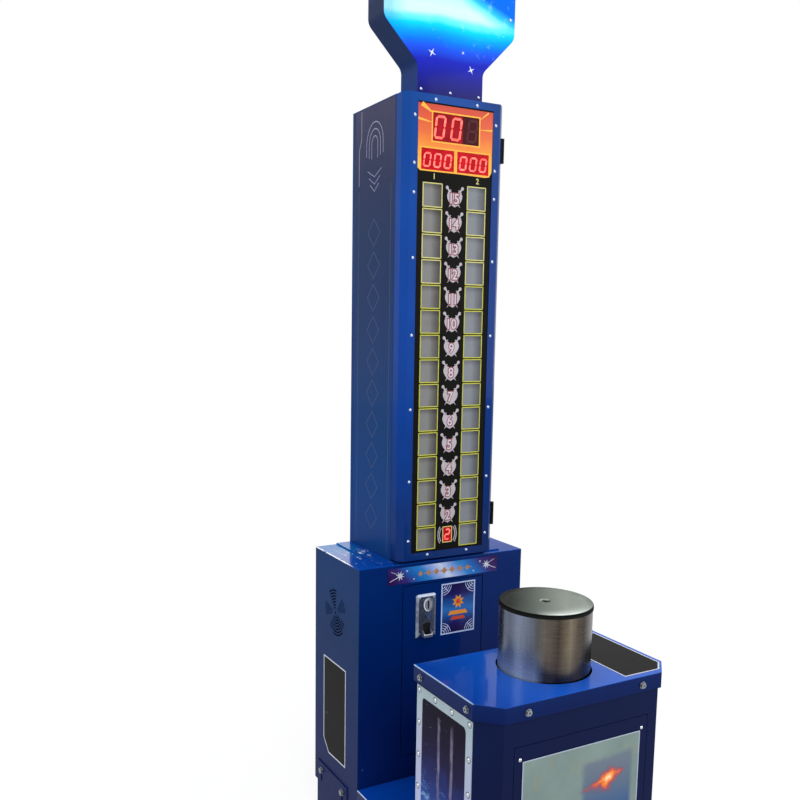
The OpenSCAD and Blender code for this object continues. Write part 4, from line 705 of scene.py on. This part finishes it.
def raise_faces(bm, on, faces, thick):
    """Gives flat faces their thickness, outwards."""
    out = bmesh.ops.extrude_face_region(bm, geom=faces)["geom"]
    bmesh.ops.translate(bm, vec=on.to_3x3() @ Vector((0, 0, thick)),
                        verts=[g for g in out if isinstance(g, bmesh.types.BMVert)])


def sheet(bm, on, corners, thick=0.3, lift=0.0):
    """A thin flat piece through its corners."""
    face = bm.faces.new([bm.verts.new(on @ Vector((u, v, lift))) for u, v in corners])
    raise_faces(bm, on, [face], thick)


def border(bm, on, corners, wide, thick=0.3, lift=0.0, rounding=0.0):
    """A thin band of even width inside the line through its corners."""
    verts = [bm.verts.new(on @ Vector((u, v, lift))) for u, v in corners]
    face = bm.faces.new(verts)
    if rounding:
        verts = bmesh.ops.bevel(bm, geom=verts, offset=rounding * MM, affect="VERTICES", segments=4,
                                profile=0.5, material=-1)["verts"]
        face = verts[0].link_faces[0]
    face.normal_update()
    rim = bmesh.ops.inset_region(bm, faces=[face], thickness=wide * MM, use_even_offset=True,
                                 use_boundary=True)["faces"]
    bmesh.ops.delete(bm, geom=[face], context="FACES_ONLY")
    raise_faces(bm, on, rim, thick)


def box_corners(u, v, w, h):
    return [(u - w / 2, v - h / 2), (u + w / 2, v - h / 2), (u + w / 2, v + h / 2), (u - w / 2, v + h / 2)]


def spot(bm, on, u, v, r, sides, thick=0.3, lift=0.0, waist=1.0, turn=0.0):
    """A round piece, or a star where the waist is less than 1."""
    made = bmesh.ops.create_circle(bm, cap_ends=True, segments=sides, radius=r,
                                   matrix=at(on, u, v, lift) @ Matrix.Rotation(math.radians(turn), 4, "Z"))
    verts = made["verts"]
    if waist < 1:
        hub = on @ Vector((u, v, lift))
        for vert in verts[::2]:
            vert.co = hub + (vert.co - hub) * waist
    raise_faces(bm, on, list(verts[0].link_faces), thick)


def sweep(bm, on, u, v, r, wide, a0, a1, steps=12, thick=0.2, lift=0.0, flat=1.0):
    """A curved band about (u, v), from angle a0 to a1."""
    turn = Matrix.Rotation(math.radians(a0), 4, "Z")
    ends = [bm.verts.new(at(on, u, v, lift) @ turn @ Vector((r + s * wide / 2, 0, 0))) for s in (-1, 1)]
    edge = bm.edges.new(ends)
    old = set(bm.faces)
    axis = (on.to_3x3() @ Vector((1, 0, 0))).cross(on.to_3x3() @ Vector((0, 1, 0))).normalized()
    bmesh.ops.spin(bm, geom=ends + [edge], cent=on @ Vector((u, v, lift)), axis=axis,
                   angle=math.radians(a1 - a0), steps=steps, use_merge=a1 - a0 == 360)
    new = [f for f in bm.faces if f not in old]
    if flat != 1.0:
        hub = on @ Vector((u, v, lift))
        up = (on.to_3x3() @ Vector((0, 1, 0))).normalized()
        for vert in {p for f in new for p in f.verts}:
            vert.co += up * (vert.co - hub).dot(up) * (flat - 1)
    raise_faces(bm, on, new, thick)


def line(bm, on, path, wide, thick=0.2, lift=0.0):
    """A thin line of even width through the points of a path, mitred at its turns."""
    left, right = [], []
    for i, (u, v) in enumerate(path):
        dirs = []
        for a, b in ((i - 1, i), (i, i + 1)):
            if a >= 0 and b < len(path):
                d = Vector((path[b][0] - path[a][0], path[b][1] - path[a][1]))
                dirs.append(d.normalized())
        mean = (dirs[0] + dirs[-1]).normalized()
        reach = wide / 2 / max(0.3, mean.dot(dirs[0]))
        left.append((u - mean.y * reach, v + mean.x * reach))
        right.append((u + mean.y * reach, v - mean.x * reach))
    sheet(bm, on, right + left[::-1], thick, lift)


def dome(bm, on, u, v, r, h, lift=0.0):
    """A round screw head: its profile is spun about its middle."""
    where = at(on, u, v, lift)
    profile = [bm.verts.new(where @ Vector((r * p, 0, h * q)))
               for p, q in ((0, 0), (1, 0), (0.87, 0.5), (0.5, 0.87), (0, 1))]
    edges = [bm.edges.new(pair) for pair in zip(profile, profile[1:])]
    axis = (on.to_3x3() @ Vector((0, 0, 1))).normalized()
    bmesh.ops.spin(bm, geom=profile + edges, cent=where @ Vector((0, 0, 0)), axis=axis,
                   angle=math.radians(360), steps=16, use_merge=True)


def number(bm, on, text, u, v, height, thick=0.3, lift=0.0, narrow=1.0, fat=0.0):
    """A plain number centred on (u, v)."""
    curve = bpy.data.curves.new("number", "FONT")
    curve.body = text
    curve.offset = fat
    curve.resolution_u = 4
    ob = bpy.data.objects.new("number", curve)
    scene.collection.objects.link(ob)
    bpy.context.view_layer.update()
    mesh = bpy.data.meshes.new_from_object(ob.evaluated_get(bpy.context.evaluated_depsgraph_get()))
    bpy.data.objects.remove(ob)
    bpy.data.curves.remove(curve)
    xs = [p.co.x for p in mesh.vertices]
    ys = [p.co.y for p in mesh.vertices]
    k = height / (max(ys) - min(ys) - 2 * fat)
    middle = Vector(((max(xs) + min(xs)) / 2, (max(ys) + min(ys)) / 2, 0))
    mesh.transform(at(on, u, v, lift) @ Matrix.Diagonal((k * narrow, k, 1, 1)) @ Matrix.Translation(-middle))
    old = set(bm.faces)
    bm.from_mesh(mesh)
    bpy.data.meshes.remove(mesh)
    raise_faces(bm, on, [f for f in bm.faces if f not in old], thick)


BARS = {"a": ((-1, 1), (1, 1)), "b": ((1, 1), (1, 0)), "c": ((1, 0), (1, -1)), "d": ((-1, -1), (1, -1)),
        "e": ((-1, 0), (-1, -1)), "f": ((-1, 1), (-1, 0)), "g": ((-1, 0), (1, 0))}
LIT = {"0": "abcdef", "2": "abged", "8": "abcdefg"}


def digit(bm, on, which, u, v, w, h, wide, lean=0.12, thick=0.3, lift=0.0):
    """A seven-segment digit about (u, v): bars with pointed ends that lean to the right."""
    for key in LIT[which]:
        (p, q), (s, t) = BARS[key]
        a = Vector((p * (w - wide) / 2, q * (h - wide) / 2))
        b = Vector((s * (w - wide) / 2, t * (h - wide) / 2))
        along = (b - a).normalized()
        side = Vector((-along.y, along.x)) * wide / 2
        a += along * wide * 0.12
        b -= along * wide * 0.12
        corners = (a, a + along * wide / 2 - side, b - along * wide / 2 - side, b,
                   b - along * wide / 2 + side, a + along * wide / 2 + side)
        sheet(bm, on, [(u + c.x + lean * c.y, v + c.y) for c in corners], thick, lift)


def piece(name, bm, finish, body, smooth=False):
    """Turns a bmesh into a named piece that rides on a body."""
    bmesh.ops.remove_doubles(bm, verts=bm.verts, dist=1e-6)
    bmesh.ops.recalc_face_normals(bm, faces=bm.faces)
    for face in bm.faces:
        face.smooth = smooth
    mesh = bpy.data.meshes.new(name)
    bm.to_mesh(mesh)
    bm.free()
    mesh.materials.append(finish.mat)
    ob = bpy.data.objects.new(name, mesh)
    scene.collection.objects.link(ob)
    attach(ob, body)
    return ob


def score_piece(name, bm, finish):
    return piece(name, bm, finish, "score_door")


# Scoreboard
board = front(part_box("scoreboard_panel")[0][1] / MM)
row_z = [FIRST_ROW + ROW_PITCH * i for i in range(15)]
GOLD = bright_line("frame_gold", "F0AE44", 0.08)
YELLOW = bright_line("outline_yellow", "B4B446", 0.05)
PALE_YELLOW = bright_line("outline_pale", "C8C478", 0.05)
SILVER = bright_line("emblem_silver", "B2AAB0")
FIGURE = bright_line("figure_silver", "C4BCC2")
CRIMSON = bright_line("emblem_crimson", "7E3040")
SEGMENT = lit_plastic("lit_segment", "FF5044", "FF9C90", 0.75)
UNLIT = plastic("unlit_segment", "4A2026", 0.3)

bm = bmesh.new()
sheet(bm, board, [(-121.8, 1951), (-116, 1945), (-96, 1944), (0, 1943), (98, 1941), (108, 1942),
                  (115, 1947), (120, 1955), (121, 1964), (121.8, 2119), (-121.8, 2119)], 0.25)
score_piece("score_field", bm, score_print())

bm = bmesh.new()
for s, spokes in ((-1, ((2099, 110, 2117, 13), (2072, 121, 2078, 7))),
                  (1, ((2096, 106, 2116, 5), (2068, 120, 2070, 5)))):
    for low, u, v, wide in spokes:
        root, tip = Vector((s * 80, low)), Vector((s * u, v))
        side = (tip - root).orthogonal().normalized() * wide / 2
        sheet(bm, board, [root + side * 0.3, root - side * 0.3, tip - side, tip + side], 0.1, 0.25)
score_piece("score_rays", bm, GOLD)

windows = [(0, MAIN_Z, 151, 75), (-57.5, RECORD_Z, 106, 57), (57.5, RECORD_Z, 106, 57)]
bm = bmesh.new()
for window in windows:
    sheet(bm, board, box_corners(*window), 0.2, 0.25)
sheet(bm, board, box_corners(0, CREDIT_Z, 29, 44), 0.2, 0.1)
score_piece("display_windows", bm, display_glass())

bm = bmesh.new()
for u, v, w, h in windows:
    border(bm, board, box_corners(u, v, w + 7, h + 7), 3.8, 0.5, 0.25)
score_piece("display_borders", bm, GOLD)

bm = bmesh.new()
for u in (-52, 0.5):
    digit(bm, board, "0", u, MAIN_Z, 34, 62, 6.4, 0.13, 0.2, 0.45)
for s in (-1, 1):
    for i in (-1, 0, 1):
        digit(bm, board, "0", s * 58 + i * 33, RECORD_Z - 2, 24, 39, 4.8, 0.13, 0.2, 0.45)
digit(bm, board, "2", 0, CREDIT_Z, 19, 33, 4.4, 0.1, 0.2, 0.35)
score_piece("lit_digits", bm, SEGMENT)

bm = bmesh.new()
digit(bm, board, "8", 53, MAIN_Z, 34, 62, 6.4, 0.13, 0.1, 0.45)
score_piece("unlit_digit", bm, UNLIT)

bm = bmesh.new()
for s in (-1, 1):
    for z in row_z:
        sheet(bm, board, box_corners(s * COLUMN, z, 58, 60.5), 0.2, 0.05)
score_piece("lamp_windows", bm, pane_glass())

for name, rows, finish in (("upper_outlines", row_z[11:], PALE_YELLOW),
                           ("lower_outlines", row_z[:11], YELLOW)):
    bm = bmesh.new()
    for s in (-1, 1):
        for z in rows:
            border(bm, board, box_corners(s * COLUMN, z, 63.5, 65.5), 2.8, 0.5, 0.05, 1.5)
    score_piece(name, bm, finish)

bm = bmesh.new()
number(bm, board, "1", -68, 1931, 15, 0.3, 0.05, fat=0.01)
number(bm, board, "2", 74, 1929, 15, 0.3, 0.05, fat=0.01)
score_piece("player_numbers", bm, PALE_YELLOW)

bm = bmesh.new()
half = [(0, 13), (6, 11), (13, 15), (21, 13), (25, 5), (24, -4), (19, -13), (10, -22), (0, -27)]
for z in row_z[1:]:
    sheet(bm, board, [(u, v + z - 1) for u, v in half + [(-u, v) for u, v in half[-2:0:-1]]], 0.35, 0.15)
    for s in (-1, 1):
        knob, point = Vector((s * 25, z + 24)), Vector((-s * 19, z - 29))
        along = (point - knob).normalized()
        side = along.orthogonal().normalized()
        neck = point - along * 9
        sheet(bm, board, [knob + side * 2.4, neck + side * 1.6, point, neck - side * 1.6, knob - side * 2.4],
              0.13 + s * 0.02, 0.02)
        spot(bm, board, knob.x, knob.y, 4.8, 10, 0.3, 0.02)
        guard = knob + along * 11
        sheet(bm, board, [guard + side * 6.5, guard + along * 3 + side * 6.5, guard + along * 3 - side * 6.5,
                          guard - side * 6.5], 0.22, 0.02)
for a in (0, 180):
    for r in (26, 31.5):
        sweep(bm, board, 0, CREDIT_Z, r, 2.6, a - 38, a + 38, 8, 0.2, 0.05, 1.25)
score_piece("row_emblems", bm, SILVER)

bm = bmesh.new()
for i, z in enumerate(row_z[1:], 2):
    number(bm, board, str(i), 0, z - 5, 27, 0.12, 0.5, 0.95, 0.09)
score_piece("row_number_edges", bm, CRIMSON)
bm = bmesh.new()
for i, z in enumerate(row_z[1:], 2):
    number(bm, board, str(i), 0, z - 5, 27, 0.1, 0.62, 0.95, 0.018)
score_piece("row_numbers", bm, FIGURE)

bm = bmesh.new()
border(bm, board, box_corners(0, CREDIT_Z, 33, 48), 2.4, 0.5, 0.1, 2)
score_piece("credit_border", bm, PALE_YELLOW)

# Small glints on the header
panel = front(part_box("header_panel")[0][1] / MM)
bm = bmesh.new()
for u, v, r, turn in ((-62, 2262, 13, 20), (66, 2233, 12, 70), (38, 2275, 6, 10)):
    spot(bm, panel, u, v, r, 8, 0.2, 0.0, 0.22, turn)
piece("header_glints", bm, bright_line("glint_white", "D4DCF8", 0.15), "machine")

# Sign strip: star bursts with streaks of light, and a row of diamonds
sign = front(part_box("sign_plate")[0][1] / MM)
bm = bmesh.new()
for s in (-1, 1):
    spot(bm, sign, s * 149, 817, 15, 16, 0.2, 0.05, 0.36, 8)
    spot(bm, sign, s * 126, 829, 5, 8, 0.2, 0.05, 0.3)
    spot(bm, sign, s * 103, 803, 4, 8, 0.2, 0.05, 0.3)
    line(bm, sign, [(s * 183, 803), (s * 172, 807), (s * 160, 812), (s * 150, 815)], 1.8, 0.15, 0.02)
    line(bm, sign, [(s * 178, 831), (s * 166, 826), (s * 152, 820)], 1.2, 0.15, 0.02)
piece("sign_stars", bm, EDGE, "machine")
bm = bmesh.new()
for k in range(-3, 4):
    spot(bm, sign, k * 27, 816, 10.5 - abs(k) * 0.6, 4, 0.2, 0.05)
    spot(bm, sign, k * 27 + 13.5, 816, 2.6, 4, 0.2, 0.05)
piece("sign_diamonds", bm, bright_line("sign_bronze", "A87C58"), "machine")

# Card beside the coin unit
door_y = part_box("coin_door")[0][1] / MM
face = front(door_y)
CARD_LINE = bright_line("card_line", "B0C2EA")
bm = bmesh.new()
sheet(bm, face, box_corners(*CARD))
piece("card_field", bm, card_print(), "cash_door")
bm = bmesh.new()
border(bm, face, box_corners(*CARD), 4.2, 0.15, 0.3)
for s, t, a0 in ((1, 1, 180), (-1, 1, 270), (1, -1, 90), (-1, -1, 0)):
    u, v = CARD[0] + s * 56, CARD[1] + t * 74
    for r in (10, 17, 24, 31):
        sweep(bm, face, u, v, r, 1.9, a0 + 6, a0 + 84, 7, 0.1, 0.3)
    line(bm, face, [(u - s * 5, v - t * 5), (u - s * 23, v - t * 23)], 1.8, 0.13, 0.3)
piece("card_border", bm, CARD_LINE, "cash_door")
bm = bmesh.new()
spot(bm, face, CARD[0], 715, 22, 16, 0.12, 0.3, 0.55)
sheet(bm, face, [(17, 676), (87, 676), (79, 688), (25, 688)], 0.12, 0.3)
piece("card_star", bm, bright_line("card_orange", "DC8A2C"), "cash_door")
bm = bmesh.new()
spot(bm, face, CARD[0], 715, 11, 16, 0.1, 0.42, 0.55, 11)
sheet(bm, face, [(25, 660), (79, 660), (72, 670), (32, 670)], 0.12, 0.3)
piece("card_ribbon", bm, bright_line("card_red", "C0402C"), "cash_door")

# Coin unit: bright ring round the slot, a small blue window and corner screws
plate = front(door_y - 7)
cap = front(door_y - 10)
bm = bmesh.new()
sheet(bm, plate, [(-68, 701), (-45, 701), (-49, 697), (-53, 699), (-58, 695), (-63, 698)], 0.25)
piece("coin_window", bm, plastic("window_blue", "4A68A4", 0.2, 500), "cash_door")
RING = bright_line("ring_silver", "C8CEDA")
# Painted highlight: the ring is pale on its left and dark on its right.
RING.put("Base Color", RING.mix(RING.xyz()[0].over(-0.066, -0.05), lin("E6EAF2"), lin("5A6074")))
bm = bmesh.new()
sweep(bm, cap, SLOT_X / MM, SLOT_Z / MM, 14.4, 2.2, 0, 360, 32, 0.6, 0.0, 1.25)
piece("coin_ring", bm, RING, "cash_door")
bm = bmesh.new()
for s in (-1, 1):
    for v in (635, 742):
        dome(bm, plate, PLATE_X / MM + s * 23.2, v, 2.2, 1.1)
piece("coin_screws", bm, SCREW, "cash_door", True)

# Long prints on the tower's sides
LINES = bright_line("print_line", "9C98B4")
FAINT = bright_line("print_faint", "3A4A70")
side_finish = side_print()
for suffix, x in (("left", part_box("tower_shell")[0][0]), ("right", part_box("tower_shell")[1][0])):
    on = flank(x / MM)
    bm = bmesh.new()
    sheet(bm, on, [(205, 862), (440, 862), (440, 2141), (205, 2141)], 0.3)
    piece("tower_print_" + suffix, bm, side_finish, "machine")
    bm = bmesh.new()
    for r in (18, 34, 50):
        sweep(bm, on, 322, 2036, r, 2.2, 0, 180, 14, 0.1, 0.3, 1.2)
        for s in (-1, 1):
            line(bm, on, [(322 + s * r, 2036.2), (322 + s * r, 1990 + r * 0.3)], 2.2, 0.1, 0.3)
    line(bm, on, [(404, 2139), (404, 2060), (418, 2030), (418, 1930)], 2.6, 0.1, 0.3)
    for k in range(3):
        line(bm, on, [(280 + k * 8, 1965 - k * 20), (322, 1945 - k * 20), (364 - k * 8, 1965 - k * 20)], 1.8,
             0.1, 0.3)
    piece("tower_lines_" + suffix, bm, LINES, "machine")
    bm = bmesh.new()
    for y in (224, 418):
        line(bm, on, [(y, 1915), (y, 876)], 2.2, 0.1, 0.3)
    for k in range(10):
        v = 1790 - k * 92
        border(bm, on, [(322, v + 40), (360, v), (322, v - 40), (284, v)], 2.4, 0.1, 0.3)
    piece("tower_diamonds_" + suffix, bm, FAINT, "machine")

# Bare plates on the cabinet's left side and on the lid
NOTICE = plate_black()
for name, on, outline in (
        ("side_plate", flank(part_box("cabinet_left_side")[0][0] / MM),
         [(245.5, 227), (362, 223), (398.5, 262), (398.5, 527), (245.5, 527)]),
        ("lid_plate", above(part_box("pedestal_lid")[1][2] / MM),
         [(131, -445.5), (243, -445.5), (277, -412), (277, -170.5), (131, -170.5)])):
    bm = bmesh.new()
    sheet(bm, on, outline)
    piece(name, bm, NOTICE, "machine")
    bm = bmesh.new()
    border(bm, on, outline, 4.0, 0.15, 0.3)
    piece(name + "_border", bm, EDGE, "machine")

# Painted shadow: dark rings round the screws of the side frames
low, high = ([c / MM for c in corner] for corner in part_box("side_frames"))
rows = [low[2] + 11 + i * (high[2] - low[2] - 22) / 5 for i in range(6)]
columns = [low[1] + 11 + i * (high[1] - low[1] - 22) / 3 for i in range(4)]
for suffix, x in (("left", low[0]), ("right", high[0])):
    bm = bmesh.new()
    for y, z in [(y, z) for y in columns for z in rows if y in columns[::3] or z in rows[::5]]:
        sweep(bm, flank(x), y, z, 7.1, 1.5, 0, 360, 16)
    piece("screw_gaps_" + suffix, bm, BLACK, "machine")

# Black cloth behind the right vent
vent = flank(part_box("cabinet_right_side")[1][0] / MM - 2.6)
bm = bmesh.new()
spot(bm, vent, 318.5, 682, 76, 32, 0.4)
piece("vent_cloth", bm, RUBBER, "machine")

# Front picture
pane = front(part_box("picture_panes")[0][1] / MM)
bm = bmesh.new()
sheet(bm, pane, box_corners(*FRONT_PICTURE), 0.25)
piece("front_picture", bm, sage_picture(), "machine")
bm = bmesh.new()
border(bm, pane, box_corners(*FRONT_PICTURE), 2.4, 0.1, 0.25)
piece("front_picture_border", bm, PALE, "machine")


# Light, floor and backdrop
def lamp(name, place, target, width, watts):
    data = bpy.data.lights.new(name, "AREA")
    data.energy = watts
    data.size = width
    ob = bpy.data.objects.new(name, data)
    ob.location = place
    ob.rotation_euler = (Vector(target) - Vector(place)).to_track_quat("-Z", "Y").to_euler()
    scene.collection.objects.link(ob)


lamp("key", (-1.6, -4.2, 3.9), (0, 0, 1.2), 2.6, 150)
lamp("fill", (3.4, -3.0, 2.2), (0, 0, 1.1), 2.6, 60)
lamp("overhead", (0.2, 0.4, 5.2), (0, 0, 0.6), 2.8, 110)
lamp("side", (-4.2, 0.6, 2.0), (0, 0.2, 1.2), 2.0, 45)
lamp("back", (1.5, 4.2, 3.2), (0, 0, 1.2), 2.6, 70)


def backdrop():
    """A world that is white to the eye, to metal and to glass, and dimmer as light."""
    world = bpy.data.worlds.new("studio")
    scene.world = world
    world.use_nodes = True
    g = Graph(world.node_tree)
    g.tree.nodes.clear()
    path = g.node("ShaderNodeLightPath").outputs
    seen = Value(g, path["Is Camera Ray"]).most(Value(g, path["Is Glossy Ray"])) \
        .most(Value(g, path["Is Transmission Ray"]))
    dim = g.node("ShaderNodeBackground", inputs={"Color": (0.86, 0.90, 1.0, 1), "Strength": 0.42})
    white = g.node("ShaderNodeBackground", inputs={"Color": (1, 1, 1, 1), "Strength": 1.0})
    both = g.node("ShaderNodeMixShader", inputs={0: seen, 1: dim.outputs[0], 2: white.outputs[0]})
    g.node("ShaderNodeOutputWorld", inputs={"Surface": both.outputs[0]})


def pale_floor():
    """A white floor that still shows a soft shadow."""
    bm = bmesh.new()
    bmesh.ops.create_grid(bm, x_segments=1, y_segments=1, size=14,
                          matrix=Matrix.Translation((0, 0, -0.0005)))
    mesh = bpy.data.meshes.new("floor")
    bm.to_mesh(mesh)
    bm.free()
    mat = bpy.data.materials.new("pale_floor")
    mat.use_nodes = True
    g = Graph(mat.node_tree)
    g.tree.nodes.clear()
    path = g.node("ShaderNodeLightPath").outputs
    dull = g.node("ShaderNodeBsdfDiffuse", inputs={"Color": (0.88, 0.88, 0.88, 1)})
    white = g.node("ShaderNodeEmission", inputs={"Color": (1, 1, 1, 1)})
    place = g.node("ShaderNodeTexCoord").outputs["Object"]
    away = Value(g, g.node("ShaderNodeVectorMath", {"operation": "LENGTH"}, {0: place}).outputs["Value"])
    share = Value(g, path["Is Camera Ray"]) * (0.82 + away.over(0.9, 2.8) * 0.18)
    both = g.node("ShaderNodeMixShader", inputs={0: share, 1: dull.outputs[0], 2: white.outputs[0]})
    g.node("ShaderNodeOutputMaterial", inputs={"Surface": both.outputs[0]})
    mesh.materials.append(mat)
    ob = bpy.data.objects.new("floor", mesh)
    scene.collection.objects.link(ob)


backdrop()
pale_floor()
scene.view_settings.view_transform = "Standard"
